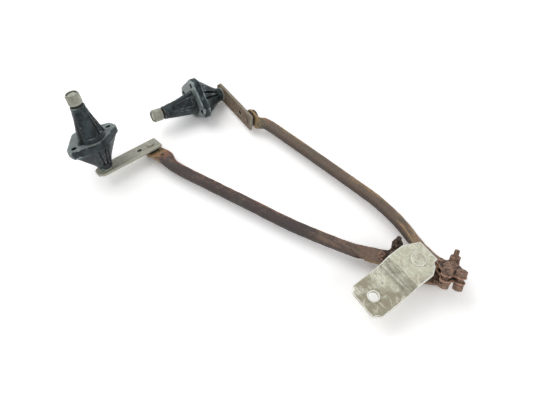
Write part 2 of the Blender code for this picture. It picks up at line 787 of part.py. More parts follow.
def rod_rubber(name):
    """The rubber bush: a thick collar under the lever and a neck through the rod's eye."""
    return turned(name, [
        (RUBBER_BORE, ROD_BOTTOM),
        (RUBBER_NECK, ROD_BOTTOM),
        (RUBBER_NECK, RUBBER_BOTTOM),
        (RUBBER_RADIUS - 0.8 * MM, RUBBER_BOTTOM),
        (RUBBER_RADIUS, RUBBER_BOTTOM + 1.0 * MM),
        (RUBBER_RADIUS - 0.6 * MM, (RUBBER_TOP + RUBBER_BOTTOM) / 2.0),
        (RUBBER_RADIUS, RUBBER_TOP - 1.0 * MM),
        (RUBBER_RADIUS - 0.8 * MM, RUBBER_TOP),
        (RUBBER_BORE, RUBBER_TOP),
    ], "black_rubber")


# Rods

def smooth_point(start, end, leave, arrive, share):
    """A point of a Hermite curve from start to end, with unit directions at both."""
    length = (end - start).length
    square = share * share
    cube = square * share
    return (
        start * (2.0 * cube - 3.0 * square + 1.0)
        + end * (3.0 * square - 2.0 * cube)
        + leave * length * (cube - 2.0 * square + share)
        + arrive * length * (cube - square)
    )


def rod_stations(stations):
    """Sections along a rod, from stations of (point, half width, half thickness, normal, direction)."""
    directions = []
    last = len(stations) - 1
    for index, station in enumerate(stations):
        ahead = stations[min(index + 1, last)][0] - stations[max(index - 1, 0)][0]
        directions.append(station[4] or ahead.normalized())
    sections = []
    for index in range(last):
        start = stations[index]
        end = stations[index + 1]
        steps = max(1, round((end[0] - start[0]).length / ROD_STEP))
        if start[1] != end[1]:
            steps = max(4, steps)
        for k in range(steps):
            share = k / steps
            ease = share * share * (3.0 - 2.0 * share)
            point = smooth_point(start[0], end[0], directions[index], directions[index + 1], share)
            width = start[1] + (end[1] - start[1]) * ease
            thickness = start[2] + (end[2] - start[2]) * ease
            normal = start[3].lerp(end[3], ease).normalized()
            sections.append((point, width, thickness, normal))
    sections.append(stations[-1][:4])
    return sections


def rounded_end(section, direction, steps):
    """Narrowing sections that give a flat end a round outline, from its tip inward."""
    point, width, thickness, normal = section[:4]
    ring = []
    for k in range(steps):
        angle = math.pi / 2.0 * (k + 0.35) / steps
        back = direction * width * math.cos(angle)
        ring.append((point - back, width * math.sin(angle), thickness, normal))
    return ring


def lofted_rod(name, sections, origin):
    """Skin the sections, each a rounded oblong that grows round where the tube is round."""
    mesh = bmesh.new()
    rings = []
    last = len(sections) - 1
    for index, (point, width, thickness, normal) in enumerate(sections):
        ahead = sections[min(index + 1, last)][0] - sections[max(index - 1, 0)][0]
        side = normal.cross(ahead).normalized()
        flatness = 1.0 - min(thickness / width, 1.0)
        up = ahead.cross(side).normalized().lerp(normal, min(1.5 * flatness, 1.0)).normalized()
        squareness = 1.0 - 0.55 * flatness
        ring = []
        for k in range(ROD_SIDES):
            angle = math.tau * (k + 0.5) / ROD_SIDES
            across = math.copysign(abs(math.cos(angle)) ** squareness, math.cos(angle))
            high = math.copysign(abs(math.sin(angle)) ** squareness, math.sin(angle))
            ring.append(mesh.verts.new(point + side * width * across + up * thickness * high - origin))
        rings.append(ring)
    for low, high in zip(rings, rings[1:]):
        for k in range(ROD_SIDES):
            after = (k + 1) % ROD_SIDES
            mesh.faces.new((low[k], low[after], high[after], high[k]))
    mesh.faces.new(list(reversed(rings[0])))
    mesh.faces.new(rings[-1])
    return finished(name, mesh, "rusty_tube")


def frame_drill(piece, frame, holes, origin):
    """Drill a piece along the z of a world frame, at (x, y, radius) in that frame."""
    mesh = bmesh.new()
    for x, y, radius in holes:
        bmesh.ops.create_cone(
            mesh, cap_ends=True, segments=ROUND, radius1=radius, radius2=radius,
            depth=12.0 * MM, matrix=Matrix.Translation((x, y, 0.0)),
        )
    bmesh.ops.transform(mesh, matrix=Matrix.Translation(-origin) @ frame, verts=mesh.verts)
    return combine(piece, finished("rod_drill", mesh, "rusty_tube"), "DIFFERENCE")


def connecting_rod(name, pin_frame, route, socket_frame, first_heading, flat_run):
    """A rod from its eye on the lever's pin to its flat tip in the ball socket."""
    pin_axis = pin_frame.col[2].to_3d()
    eye = pin_frame @ Vector((0.0, 0.0, ROD_MIDDLE))
    leave = (first_heading - first_heading.dot(pin_axis) * pin_axis).normalized()
    ball = socket_frame.translation
    toward_rod = socket_frame.col[0].to_3d()
    socket_normal = socket_frame.col[2].to_3d()
    flat = ROD_FLAT / 2.0
    stations = [
        (eye + leave * reach, FLAT_HALF_WIDTH, flat, pin_axis, leave) for reach in (0.0, flat_run)
    ]
    for index, point in enumerate(route):
        share = (index + 1.0) / (len(route) + 1.0)
        normal = pin_axis.lerp(socket_normal, share).normalized()
        stations.append((Vector(point) * MM, TUBE_RADIUS, TUBE_RADIUS, normal, None))
    for reach in (SOCKET_FLAT_REACH, ROD_TIP):
        stations.append((ball + toward_rod * reach, FLAT_HALF_WIDTH, flat, socket_normal, -toward_rod))
    sections = rounded_end(stations[0], leave, 5) + rod_stations(stations)
    piece = lofted_rod(name, sections, ball)
    eye_frame = axes(leave, pin_axis, eye)
    holes = [(0.0, 0.0, ROD_EYE)]
    if flat_run > ROD_HOLE_REACH:
        holes.append((ROD_HOLE_REACH, 0.0, ROD_HOLE_RADIUS))
    frame_drill(piece, eye_frame, holes, ball)
    frame_drill(piece, socket_frame, [(SOCKET_RIVET_REACH, 0.0, RIVET_RADIUS + GAP)], ball)
    return tidy_mesh(piece)


# Ball socket, in its own frame: the ball at the origin, the rod along +x

def socket_arms(free_arms):
    """The socket plates' arms: one under the rod's tip and one for each free bolt."""
    arms = [(0.0, SOCKET_ROD_ARM_REACH, SOCKET_ROD_ARM_HALF_WIDTH)]
    arms += [(angle, SOCKET_BOLT_CIRCLE, SOCKET_ARM_HALF_WIDTH) for angle in free_arms]
    return arms


def socket_bolt_places(free_arms):
    """Where the socket's rivet and bolts stand: the rod's rivet first."""
    places = [(SOCKET_RIVET_REACH, 0.0)]
    for angle in free_arms:
        turn = math.radians(angle)
        places.append((SOCKET_BOLT_CIRCLE * math.cos(turn), SOCKET_BOLT_CIRCLE * math.sin(turn)))
    return places


def socket_plate(name, free_arms, side, mouth=False):
    """A pressed socket plate with a dome over the ball: side is 1 above the rod, -1 below."""
    outline = star_outline(SOCKET_HUB_RADIUS, socket_arms(free_arms), SOCKET_POINTS)
    mesh = bmesh.new()
    inner_lip = math.sqrt(DOME_INNER**2 - SOCKET_FACE**2)
    outer_lip = math.sqrt(DOME_OUTER**2 - SOCKET_BACK**2)

    def flat_ring(height, shrink):
        ring = []
        for x, y in outline:
            share = 1.0 - shrink / math.hypot(x, y)
            ring.append(mesh.verts.new((x * share, y * share, side * height)))
        return ring

    def round_ring(radius, height):
        ring = []
        for k in range(SOCKET_POINTS):
            turn = math.tau * k / SOCKET_POINTS
            ring.append(mesh.verts.new((radius * math.cos(turn), radius * math.sin(turn), side * height)))
        return ring

    def dome(sphere, lip):
        inner = 1.2 * MM
        steps = 4
        if mouth:
            inner = SOCKET_MOUTH_INNER if sphere == DOME_INNER else SOCKET_MOUTH_OUTER
            steps = 1
        found = []
        for k in range(1, steps + 1):
            start = math.asin(lip / sphere)
            stop = math.asin(inner / sphere)
            angle = start + (stop - start) * k / steps
            found.append(round_ring(sphere * math.sin(angle), sphere * math.cos(angle)))
        return found

    rings = [round_ring(inner_lip, SOCKET_FACE)]
    rings += [flat_ring(SOCKET_FACE, 0.3 * MM), flat_ring(SOCKET_FACE + 0.3 * MM, 0.0)]
    rings += [flat_ring(SOCKET_BACK - 0.5 * MM, 0.0), flat_ring(SOCKET_BACK, 0.5 * MM)]
    rings.append(round_ring(outer_lip + 0.4 * MM, SOCKET_BACK))
    outer = dome(DOME_OUTER, outer_lip)
    inner = dome(DOME_INNER, inner_lip)
    rings += outer
    chain = rings + list(reversed(inner)) if mouth else rings
    loops = list(zip(chain, chain[1:]))
    if mouth:
        loops.append((chain[-1], chain[0]))
    else:
        loops += list(zip([rings[0]] + inner, inner))
    for low, high in loops:
        for k in range(SOCKET_POINTS):
            after = (k + 1) % SOCKET_POINTS
            mesh.faces.new((low[k], low[after], high[after], high[k]))
    if not mouth:
        mesh.faces.new(outer[-1])
        mesh.faces.new(list(reversed(inner[-1])))
    piece = finished(name, mesh, "rusty_steel")
    places = socket_bolt_places(free_arms)
    holes = [(*places[0], RIVET_RADIUS + GAP)] + [(x, y, BOLT_RADIUS + GAP) for x, y in places[1:]]
    drill(piece, holes, 3.0 * DOME_OUTER)
    return tidy_mesh(piece)


def ball_seat(name):
    """The plastic seat round the ball, open beneath for the stud's neck."""
    points = []
    for k in range(7):
        angle = math.radians(22.0 + 94.0 * k / 6)
        points.append((SEAT_OUTER * math.sin(angle), SEAT_OUTER * math.cos(angle)))
    for k in range(6, -1, -1):
        angle = math.radians(22.0 + 94.0 * k / 6)
        points.append((SEAT_INNER * math.sin(angle), SEAT_INNER * math.cos(angle)))
    return turned(name, points, "nylon", ROUND)


def socket_bolt(name, head, tail):
    """A hexagon bolt through both plates, head beneath, with a tail above its nut."""
    under = -SOCKET_BACK - GAP
    piece = extruded(name, hexagon(BOLT_HEAD_FLATS), under - head, under, "rusty_steel", 0.35 * MM)
    top = SOCKET_BACK + GAP + NUT_HEIGHT + tail
    shank = turned("shank", [
        (0.0, under - 1.0 * MM),
        (BOLT_RADIUS, under - 1.0 * MM),
        (BOLT_RADIUS, top - 0.5 * MM),
        (BOLT_RADIUS - 0.5 * MM, top),
        (0.0, top),
    ], "rusty_steel", SMALL_ROUND)
    return tidy_mesh(combine(piece, shank, "UNION"))


def socket_nut(name):
    """The bolt's hexagon nut."""
    bottom = SOCKET_BACK + GAP
    piece = extruded(name, hexagon(NUT_FLATS), bottom, bottom + NUT_HEIGHT, "rusty_steel", 0.5 * MM)
    return tidy_mesh(drill(piece, [(0.0, 0.0, BOLT_RADIUS + GAP)], 10.0 * DOME_OUTER))


def socket_rivet(name):
    """A low rivet through both plates and the rod's tip."""
    back = SOCKET_BACK + GAP
    head = back + RIVET_HEAD_HEIGHT
    return turned(name, [
        (0.0, -head),
        (RIVET_HEAD_RADIUS - 1.2 * MM, -head),
        (RIVET_HEAD_RADIUS, -back),
        (RIVET_RADIUS, -back),
        (RIVET_RADIUS, back),
        (RIVET_HEAD_RADIUS, back),
        (RIVET_HEAD_RADIUS - 1.2 * MM, head),
        (0.0, head),
    ], "rusty_steel", ROUND)


# Motor crank, in its own frame: the motor's shaft hole at the origin, the pillar along +x

def crank_height(x):
    """The height of the crank plate's upper face, which steps down towards the motor."""
    share = min(max((x - JOGGLE_START) / (JOGGLE_END - JOGGLE_START), 0.0), 1.0)
    rise = 1.0 / (1.0 - BEND_SHARE)
    if share < BEND_SHARE:
        level = rise * share * share / (2.0 * BEND_SHARE)
    elif share > 1.0 - BEND_SHARE:
        level = 1.0 - rise * (1.0 - share) ** 2 / (2.0 * BEND_SHARE)
    else:
        level = rise * (share - BEND_SHARE / 2.0)
    return CRANK_TOP - CRANK_JOGGLE * (1.0 - level)


def bend_shares():
    """Where the joggle's two bends are faceted, as shares of its run."""
    near = [BEND_SHARE * k / 4 for k in range(5)]
    return near + [1.0 - share for share in reversed(near)]


def crank_outline():
    """The plate's outline: scalloped at the motor end, cut back at the pillar end."""
    half = CRANK_HALF_WIDTH
    near = -CRANK_MOTOR_END
    far = CRANK_THROW + CRANK_PIN_END
    scallop = 5.0 * MM
    points = [(near + 0.6 * MM, half - scallop * 1.3)]
    points += arc((near + 1.0 * MM, half + 0.2 * MM), scallop, 268.0, 352.0, 6)
    points += [(far - 17.0 * MM, half), (far - 14.0 * MM, half - 1.0 * MM), (far, half - 7.6 * MM)]
    points += [(far - 0.6 * MM, -half + 9.6 * MM)]
    points += arc((far - 3.0 * MM, -half + 4.6 * MM), 4.2 * MM, 60.0, 178.0, 5)
    points += [(far - 9.4 * MM, -half + 3.4 * MM), (far - 15.0 * MM, -half)]
    points += arc((near + 1.0 * MM, -half - 0.2 * MM), scallop, 8.0, 92.0, 6)
    points.append((near - 0.4 * MM, -half + scallop * 1.3))
    return points


def crank_plate(name):
    """The cranked plate that the motor's shaft drives."""
    outline = crank_outline()
    mesh = bmesh.new()
    corners = [mesh.verts.new((x, y, 0.0)) for x, y in outline]
    mesh.faces.new(corners)
    for share in bend_shares():
        x = JOGGLE_START + (JOGGLE_END - JOGGLE_START) * share
        bmesh.ops.bisect_plane(
            mesh, geom=mesh.verts[:] + mesh.edges[:] + mesh.faces[:],
            plane_co=(x, 0.0, 0.0), plane_no=(1.0, 0.0, 0.0),
        )
    grown = bmesh.ops.extrude_face_region(mesh, geom=mesh.faces[:])
    lifted = {item for item in grown["geom"] if isinstance(item, bmesh.types.BMVert)}
    for vert in mesh.verts:
        vert.co.z = crank_height(vert.co.x) - (0.0 if vert in lifted else CRANK_THICKNESS)
    bmesh.ops.dissolve_limit(
        mesh, angle_limit=math.radians(0.5), verts=mesh.verts[:], edges=mesh.edges[:],
    )
    piece = finished(name, mesh, "zinc_plate")
    motor_top = crank_height(0.0)
    rim = turned("rim", [
        (0.0, motor_top - 1.0 * MM),
        (MOTOR_RIM_RADIUS + 0.5 * MM, motor_top - 1.0 * MM),
        (MOTOR_RIM_RADIUS, motor_top + MOTOR_RIM_HEIGHT),
        (0.0, motor_top + MOTOR_RIM_HEIGHT),
    ], "zinc_plate", ROUND)
    combine(piece, rim, "UNION")
    mesh = bmesh.new()
    for x, radius in ((0.0, MOTOR_HOLE_RADIUS), (CRANK_THROW, PILLAR_RADIUS + GAP)):
        bmesh.ops.create_cone(
            mesh, cap_ends=True, segments=ROUND, radius1=radius, radius2=radius,
            depth=4.0 * CRANK_TOP, matrix=Matrix.Translation((x, 0.0, 0.0)),
        )
    combine(piece, finished("holes", mesh, "zinc_plate"), "DIFFERENCE")
    return tidy_mesh(piece)


def crank_pillar(name):
    """The pillar between the crank plate and the stud carrier, staked at both ends."""
    top = CRANK_TOP + GAP
    shoulder = CRANK_BOTTOM - GAP
    seat = CARRIER_TOP + GAP
    foot = CARRIER_BOTTOM - GAP
    return turned(name, [
        (0.0, 0.0),
        (RIVET_FOOT_RADIUS - 0.6 * MM, 0.0),
        (RIVET_FOOT_RADIUS, foot),
        (PILLAR_RADIUS, foot),
        (PILLAR_RADIUS, seat),
        (PILLAR_SHOULDER_RADIUS, seat),
        (PILLAR_SHOULDER_RADIUS, seat + PILLAR_SHOULDER_HEIGHT * 0.7),
        (PILLAR_RADIUS, seat + PILLAR_SHOULDER_HEIGHT),
        (PILLAR_RADIUS, shoulder - PILLAR_SHOULDER_HEIGHT),
        (PILLAR_SHOULDER_RADIUS, shoulder - PILLAR_SHOULDER_HEIGHT * 0.7),
        (PILLAR_SHOULDER_RADIUS, shoulder),
        (PILLAR_RADIUS, shoulder),
        (PILLAR_RADIUS, top),
        (PILLAR_HEAD_RADIUS, top),
        (PILLAR_HEAD_RADIUS - 0.5 * MM, top + PILLAR_HEAD_HEIGHT * 0.8),
        (PILLAR_DIMPLE_RADIUS + 1.4 * MM, top + PILLAR_HEAD_HEIGHT),
        (PILLAR_DIMPLE_RADIUS, top + PILLAR_HEAD_HEIGHT * 0.9),
        (PILLAR_DIMPLE_RADIUS * 0.6, top + PILLAR_HEAD_HEIGHT * 0.25),
        (0.0, top + PILLAR_HEAD_HEIGHT * 0.1),
    ], "zinc_plate", FINE_ROUND)


def stud_carrier(name, origin):
    """The lower plate that carries the two ball studs off the pillar."""
    piece = None
    for place in (LEFT_BALL, RIGHT_BALL):
        reach = place - PILLAR_PLACE
        length = math.hypot(reach.x, reach.y)
        turn = math.degrees(math.atan2(reach.y, reach.x))
        outline = arc((length, 0.0), CARRIER_BOSS_RADIUS, -90.0, 90.0, 10)
        outline += arc((0.0, 0.0), CARRIER_BOSS_RADIUS + 0.6 * MM, 90.0, 270.0, 10)
        arm = extruded("arm", outline, CARRIER_BOTTOM, CARRIER_TOP, "rusty_steel", 0.4 * MM)
        arm.data.transform(Matrix.Rotation(math.radians(turn), 4, "Z"))
        if piece is None:
            piece = arm
            piece.name = name
        else:
            combine(piece, arm, "UNION")
    studs = [(place - PILLAR_PLACE).to_2d() for place in (LEFT_BALL, RIGHT_BALL)]
    drill(piece, (
        (0.0, 0.0, PILLAR_RADIUS + GAP),
        (studs[0].x, studs[0].y, STUD_SHANK_RADIUS + GAP),
        (studs[1].x, studs[1].y, STUD_SHANK_RADIUS + GAP),
    ), 20.0 * MM)
    return tidy_mesh(piece)


def ball_stud(name, height):
    """A ball stud staked into the carrier, with its ball's centre at the origin."""
    foot = -height
    seat = CARRIER_TOP + GAP - height
    collar = seat + STUD_COLLAR_HEIGHT
    meet = math.asin(STUD_NECK_RADIUS / BALL_RADIUS)
    points = [
        (0.0, foot),
        (RIVET_FOOT_RADIUS - 0.6 * MM, foot),
        (RIVET_FOOT_RADIUS, CARRIER_BOTTOM - GAP - height),
        (STUD_SHANK_RADIUS, CARRIER_BOTTOM - GAP - height),
        (STUD_SHANK_RADIUS, seat),
        (STUD_COLLAR_RADIUS, seat),
        (STUD_COLLAR_RADIUS, collar - 0.5 * MM),
        (STUD_COLLAR_RADIUS - 0.5 * MM, collar),
        (STUD_NECK_RADIUS + 0.6 * MM, collar),
    ]
    for k in range(9):
        angle = meet + (math.pi - meet) * k / 8
        points.append((BALL_RADIUS * math.sin(angle), -BALL_RADIUS * math.cos(angle)))
    points[-1] = (0.0, BALL_RADIUS)
    return turned(name, points, "bright_steel", ROUND)


# Assembly

def build_pivot(side, rod_body, frame, housing_turn):
    """Build one side's lever, shaft and housing, and return its lever and housing bodies."""
    pin_frame = frame @ Matrix.Translation((LEVER_PIN_REACH, 0.0, 0.0))
    arm = Body(f"{side}_lever_body", pin_frame, rod_body)
    to_shaft = Matrix.Translation((-LEVER_PIN_REACH, 0.0, 0.0))
    arm.add(lever(f"{side}_lever"))
    arm.add(lever_pin(f"{side}_lever_pin"))
    arm.add(tube_piece(
        f"{side}_pin_washer", PIN_RADIUS + GAP, PIN_WASHER_RADIUS, PIN_WASHER_BOTTOM, PIN_WASHER_TOP,
        "lever_steel",
    ))
    arm.add(pivot_shaft(f"{side}_pivot_shaft"), to_shaft)
    arm.add(knurled_driver(f"{side}_arm_driver"), to_shaft)
    arm.add(tube_piece(
        f"{side}_thrust_washer", SHAFT_RADIUS + GAP, FOOT_RADIUS - 0.4 * MM, GAP,
        GAP + THRUST_WASHER_THICKNESS, "bright_steel",
    ), to_shaft)
    housing = Body(f"{side}_housing_body", frame, arm)
    turn = Matrix.Rotation(math.radians(housing_turn), 4, "Z")
    housing.add(pivot_housing(f"{side}_pivot_housing"), turn)
    housing.add(tube_piece(
        f"{side}_lower_bush", BUSH_BORE, BUSH_RADIUS, HOUSING_FOOT, HOUSING_FOOT + BUSH_LENGTH, "bronze",
    ))
    housing.add(tube_piece(
        f"{side}_upper_bush", BUSH_BORE, BUSH_RADIUS, HOUSING_TOP - BUSH_LENGTH, HOUSING_TOP, "bronze",
    ))
    housing.add(tube_piece(
        f"{side}_shaft_seal", BUSH_BORE, TOWER_TOP_RADIUS - 1.3 * MM, HOUSING_TOP + GAP,
        HOUSING_TOP + SEAL_HEIGHT, "black_rubber",
    ))
    return arm, housing


def build_rod(side, rod_body, pin_frame, socket_frame, route, first_heading, flat_run, free_arms, bolts):
    """Build one rod with its rubber and its bolted socket."""
    here = rod_body.frame.inverted()
    rod_body.add(connecting_rod(
        f"{side}_rod", pin_frame, route, socket_frame, first_heading, flat_run,
    ))
    rod_body.add(rod_rubber(f"{side}_rod_rubber"), here @ pin_frame)
    socket = here @ socket_frame
    rod_body.add(socket_plate(f"{side}_socket_top", free_arms, 1.0), socket)
    rod_body.add(socket_plate(f"{side}_socket_base", free_arms, -1.0, mouth=True), socket)
    rod_body.add(ball_seat(f"{side}_ball_seat"), socket)
    for index, (x, y) in enumerate(socket_bolt_places(free_arms)):
        facing = Matrix.Rotation(math.atan2(y, x) + math.radians(30.0), 4, "Z")
        spot = socket @ Matrix.Translation((x, y, 0.0)) @ facing
        if index == 0:
            rod_body.add(socket_rivet(f"{side}_socket_rivet"), spot)
            continue
        head, tail = bolts[index - 1]
        rod_body.add(socket_bolt(f"{side}_socket_bolt_{index + 1}", head, tail), spot)
        rod_body.add(socket_nut(f"{side}_socket_nut_{index + 1}"), spot)


def build_crank():
    """Build the crank with its pillar, carrier and ball studs."""
    heading = Matrix.Rotation(math.radians(CRANK_HEADING), 4, "Z")
    frame = Matrix.Translation(PILLAR_PLACE) @ heading @ Matrix.Translation((-CRANK_THROW, 0.0, 0.0))
    crank = Body("crank_body", frame)
    here = frame.inverted()
    crank.add(crank_plate("crank_plate"))
    crank.add(crank_pillar("crank_pillar"), here @ Matrix.Translation(PILLAR_PLACE))
    crank.add(stud_carrier("stud_carrier", PILLAR_PLACE), here @ Matrix.Translation(PILLAR_PLACE))
    crank.add(ball_stud("left_ball_stud", LEFT_BALL.z), here @ Matrix.Translation(LEFT_BALL))
    crank.add(ball_stud("right_ball_stud", RIGHT_BALL.z), here @ Matrix.Translation(RIGHT_BALL))
    return crank


def rod_direction(heading):
    """A level direction at a heading in degrees."""
    turn = math.radians(heading)
    return Vector((math.cos(turn), math.sin(turn), 0.0))


def centre_on_bench(crank):
    """Move the whole linkage so that the middle of its outer box lies over the origin."""
    bpy.context.view_layer.update()
    graph = bpy.context.evaluated_depsgraph_get()
    low = Vector((1.0, 1.0, 1.0))
    high = Vector((-1.0, -1.0, -1.0))
    for piece in bpy.data.objects:
        if piece.type != "MESH":
            continue
        shape = piece.evaluated_get(graph)
        for vert in shape.data.vertices:
            point = shape.matrix_world @ vert.co
            low = Vector(map(min, low, point))
            high = Vector(map(max, high, point))
    middle = (low + high) / 2.0
    shift = Matrix.Translation((-middle.x, -middle.y, -low.z))
    crank.empty.matrix_basis = shift @ crank.empty.matrix_basis
    bpy.context.view_layer.update()


def main():
    """Build the linkage."""
    for old in list(bpy.data.objects):
        bpy.data.objects.remove(old)
    crank = build_crank()
    sides = (
        ("left", LEFT_SHAFT, LEFT_SHAFT_AZIMUTH, LEFT_SHAFT_ELEVATION, LEFT_LEVER_TURN, 0.0,
         LEFT_BALL, LEFT_SOCKET_NORMAL, LEFT_ROD_HEADING, LEFT_ROUTE,
         LEFT_ROD_LEAVE, LEFT_FLAT_RUN, LEFT_SOCKET_ARMS, LEFT_BOLTS),
        ("right", RIGHT_SHAFT, RIGHT_SHAFT_AZIMUTH, RIGHT_SHAFT_ELEVATION, RIGHT_LEVER_TURN,
         RIGHT_HOUSING_TURN, RIGHT_BALL, RIGHT_SOCKET_NORMAL, RIGHT_ROD_HEADING, RIGHT_ROUTE,
         RIGHT_ROD_LEAVE, RIGHT_FLAT_RUN, RIGHT_SOCKET_ARMS, RIGHT_BOLTS),
    )
    for (side, place, azimuth, elevation, turn, housing_turn, ball, normal, heading, route,
         leave, flat_run, free_arms, bolts) in sides:
        frame = shaft_frame(place, azimuth, elevation, turn)
        pin_frame = frame @ Matrix.Translation((LEVER_PIN_REACH, 0.0, 0.0))
        socket_frame = axes(rod_direction(heading), normal, ball)
        rod_body = Body(f"{side}_rod_body", Matrix.Translation(ball), crank)
        build_rod(side, rod_body, pin_frame, socket_frame, route, leave, flat_run, free_arms, bolts)
        build_pivot(side, rod_body, frame, housing_turn)
    centre_on_bench(crank)


main()
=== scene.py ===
"""The looks of a windscreen wiper linkage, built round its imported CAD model."""

import json
import math

import bmesh
import bpy
import numpy as np
from bpy.props import FloatProperty, FloatVectorProperty, IntProperty, PointerProperty
from bpy.types import Operator, Panel, PropertyGroup
from mathutils import Matrix, Vector, noise


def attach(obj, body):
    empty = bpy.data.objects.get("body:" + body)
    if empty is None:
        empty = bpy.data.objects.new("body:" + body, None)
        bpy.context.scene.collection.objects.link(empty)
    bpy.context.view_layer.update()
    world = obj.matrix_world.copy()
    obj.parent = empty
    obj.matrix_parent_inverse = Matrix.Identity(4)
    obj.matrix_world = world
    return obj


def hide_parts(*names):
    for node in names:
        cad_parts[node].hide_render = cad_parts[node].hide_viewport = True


bl_info = {
    "name": "Wiper Linkage",
    "version": (1, 0, 0),
    "blender": (4, 5, 0),
    "location": "View3D > Sidebar > Wiper Linkage",
    "description": "Dresses a worn windscreen wiper linkage on a pale bench",
    "category": "Object",
}

MM = 0.001
MERGE = 0.001 * MM
SIDES = ("left", "right")

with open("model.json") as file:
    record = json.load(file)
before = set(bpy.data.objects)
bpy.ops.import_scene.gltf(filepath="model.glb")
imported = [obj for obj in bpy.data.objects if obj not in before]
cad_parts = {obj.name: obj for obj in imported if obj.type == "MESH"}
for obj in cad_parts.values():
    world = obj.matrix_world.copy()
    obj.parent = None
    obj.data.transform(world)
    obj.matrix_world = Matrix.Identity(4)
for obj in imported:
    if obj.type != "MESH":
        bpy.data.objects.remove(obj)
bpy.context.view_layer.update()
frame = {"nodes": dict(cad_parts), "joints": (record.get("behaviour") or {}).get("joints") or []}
JOINTS = {joint["name"]: joint for joint in frame["joints"]}

# Where the left ball was drawn before the CAD model was centred on the bench

DRAWN_BALL = Vector((122.8, -77.8, 16.5)) * MM

# The sockets' frames and their bolts' numbers, as the CAD model has them

SOCKETS = {
    "left": {
        "ball": Vector(JOINTS["left_rod_swing"]["pos_m"]),
        "normal": Vector((0.0, 0.2, 0.98)),
        "heading": 164.0,
        "bolts": (2, 3),
    },
    "right": {
        "ball": Vector(JOINTS["right_rod_swing"]["pos_m"]),
        "normal": Vector((0.11, 0.57, 0.814)),
        "heading": 110.0,
        "bolts": (2, 3, 4),
    },
}


# Sizes and colours that a user would change

def length(label, words, value, least):
    """A length property, given in millimetres with its smallest value."""
    return FloatProperty(name=label, description=words, default=value * MM, min=least * MM, unit="LENGTH")


class LinkageSizes(PropertyGroup):
    """Sizes of the linkage's finish and small repeated shapes."""

    cast_voxel: length("Casting grain", "Mesh size of the cast housings", 0.55, 0.3)
    plate_voxel: length("Sheet grain", "Mesh size of the levers and crank plate", 0.55, 0.3)
    rust_voxel: length("Rust grain", "Mesh size of the rusted sockets", 0.45, 0.3)
    tube_voxel: length("Tube grain", "Mesh size of the rods", 0.7, 0.3)
    rust_swell: length("Rust scale", "Height of the rust scale on the sockets", 0.34, 0.0)
    knurl_ridges: IntProperty(
        name="Knurl ridges", description="Ridges round each arm driver", default=44, min=12,
    )
    knurl_depth: length("Knurl depth", "Height of each ridge on the arm drivers", 0.38, 0.1)
    thread_pitch: length("Thread pitch", "Pitch of the socket bolts' threads", 0.9, 0.4)


def colour(label, words, red, green, blue):
    """A colour property, given in display values of 0 to 255."""
    return FloatVectorProperty(
        name=label, description=words, subtype="COLOR_GAMMA", size=3, min=0.0, max=1.0,
        default=(red / 255.0, green / 255.0, blue / 255.0),
    )


class LinkageColours(PropertyGroup):
    """Colours of the linkage's finishes."""

    casting: colour("Casting", "Dark skin of the housings", 20, 30, 32)
    casting_blue: colour("Casting bloom", "Slate bloom on the housings", 54, 66, 70)
    # The next two greys also paint light: a sheen on the housings' upward faces and a glare on their lugs.
    pale_casting_and_sheen: colour("Scuffed edge", "Bare metal on the housings' edges", 128, 138, 136)
    bare_casting_and_glare: colour("Bare casting", "Rubbed patches of the housings", 160, 172, 172)
    zinc: colour("Zinc", "Dull zinc of the crank plate", 214, 215, 192)
    zinc_pink: colour("Zinc, pink", "Pinkish stain on the zinc", 206, 192, 178)
    zinc_green: colour("Zinc, green", "Green passivation on the zinc", 190, 198, 160)
    zinc_pale: colour("Zinc, pale", "Pale clean zinc", 246, 244, 226)
    zinc_brown: colour("Zinc, brown", "Brown bloom at the motor end", 156, 148, 124)
    # The next two also paint light: grime colour as shade on the crank's slope, in hollows and in knurl
    # grooves, and rubbed zinc as highlights and glints.
    zinc_dirt_and_shade: colour("Zinc grime", "Grime in the zinc", 122, 116, 96)
    zinc_rubbed_and_glint: colour("Zinc, rubbed", "Rubbed bright edges", 246, 246, 236)
    lever_grey: colour("Lever grey", "Grey of the levers", 168, 168, 156)
    lever_rubbed: colour("Lever, rubbed", "Rubbed edges of the levers", 186, 186, 170)
    lever_brown: colour("Lever brown", "Brown of the rusted lever", 138, 116, 94)
    steel: colour("Steel", "Dull steel of the drivers", 190, 192, 180)
    steel_rubbed: colour("Steel, rubbed", "Rubbed crests of the drivers", 218, 218, 202)
    tube_dark: colour("Tube dark", "Old paint on the left rod", 78, 68, 66)
    tube_green: colour("Tube green", "Old paint on the right rod", 106, 104, 94)
    # Orange rust also paints light on the rods' lit side, and dark rust paints shade under the rods, in the
    # levers' hollows and round the pin heads.
    orange_rust_and_light: colour("Orange rust", "Fresh rust", 178, 116, 82)
    rust_brown: colour("Brown rust", "Old rust", 118, 98, 84)
    rust_pink: colour("Pink rust", "Dry pinkish rust", 162, 132, 114)
    rust_bloom: colour("Rust bloom", "Palest rust on corners", 206, 164, 140)
    deep_rust_and_shade: colour("Dark rust", "Rust in hollows", 52, 40, 36)
    olive: colour("Olive", "Green-grey paint at the rods' ends", 98, 100, 82)
    tan: colour("Tan", "Dry tan stain", 178, 148, 110)
    rubber: colour("Rubber", "Black rubber", 26, 30, 30)
    bronze: colour("Bronze", "Bushes", 84, 72, 54)
    nylon: colour("Nylon", "Ball seats", 196, 188, 166)
    floor: colour("Bench", "Pale bench top", 246, 246, 246)


class StageSettings(PropertyGroup):
    """The camera and the lamps."""

    lens: FloatProperty(name="Lens", description="Focal length in millimetres", default=34.4, min=5.0)
    elevation: FloatProperty(
        name="Elevation", description="How far the camera looks down",
        default=math.radians(58.0), subtype="ANGLE",
    )
    distance: FloatProperty(
        name="Distance", description="From the camera to the middle of the picture",
        default=0.540, unit="LENGTH",
    )
    key_power: FloatProperty(name="Key lamp", description="Power of the large lamp", default=4.9, min=0.0)
    fill_power: FloatProperty(name="Fill lamp", description="Power of the small lamp", default=1.7, min=0.0)
    sky: FloatProperty(name="Sky", description="Level of the light from all round", default=0.69, min=0.0)


# Shader maths

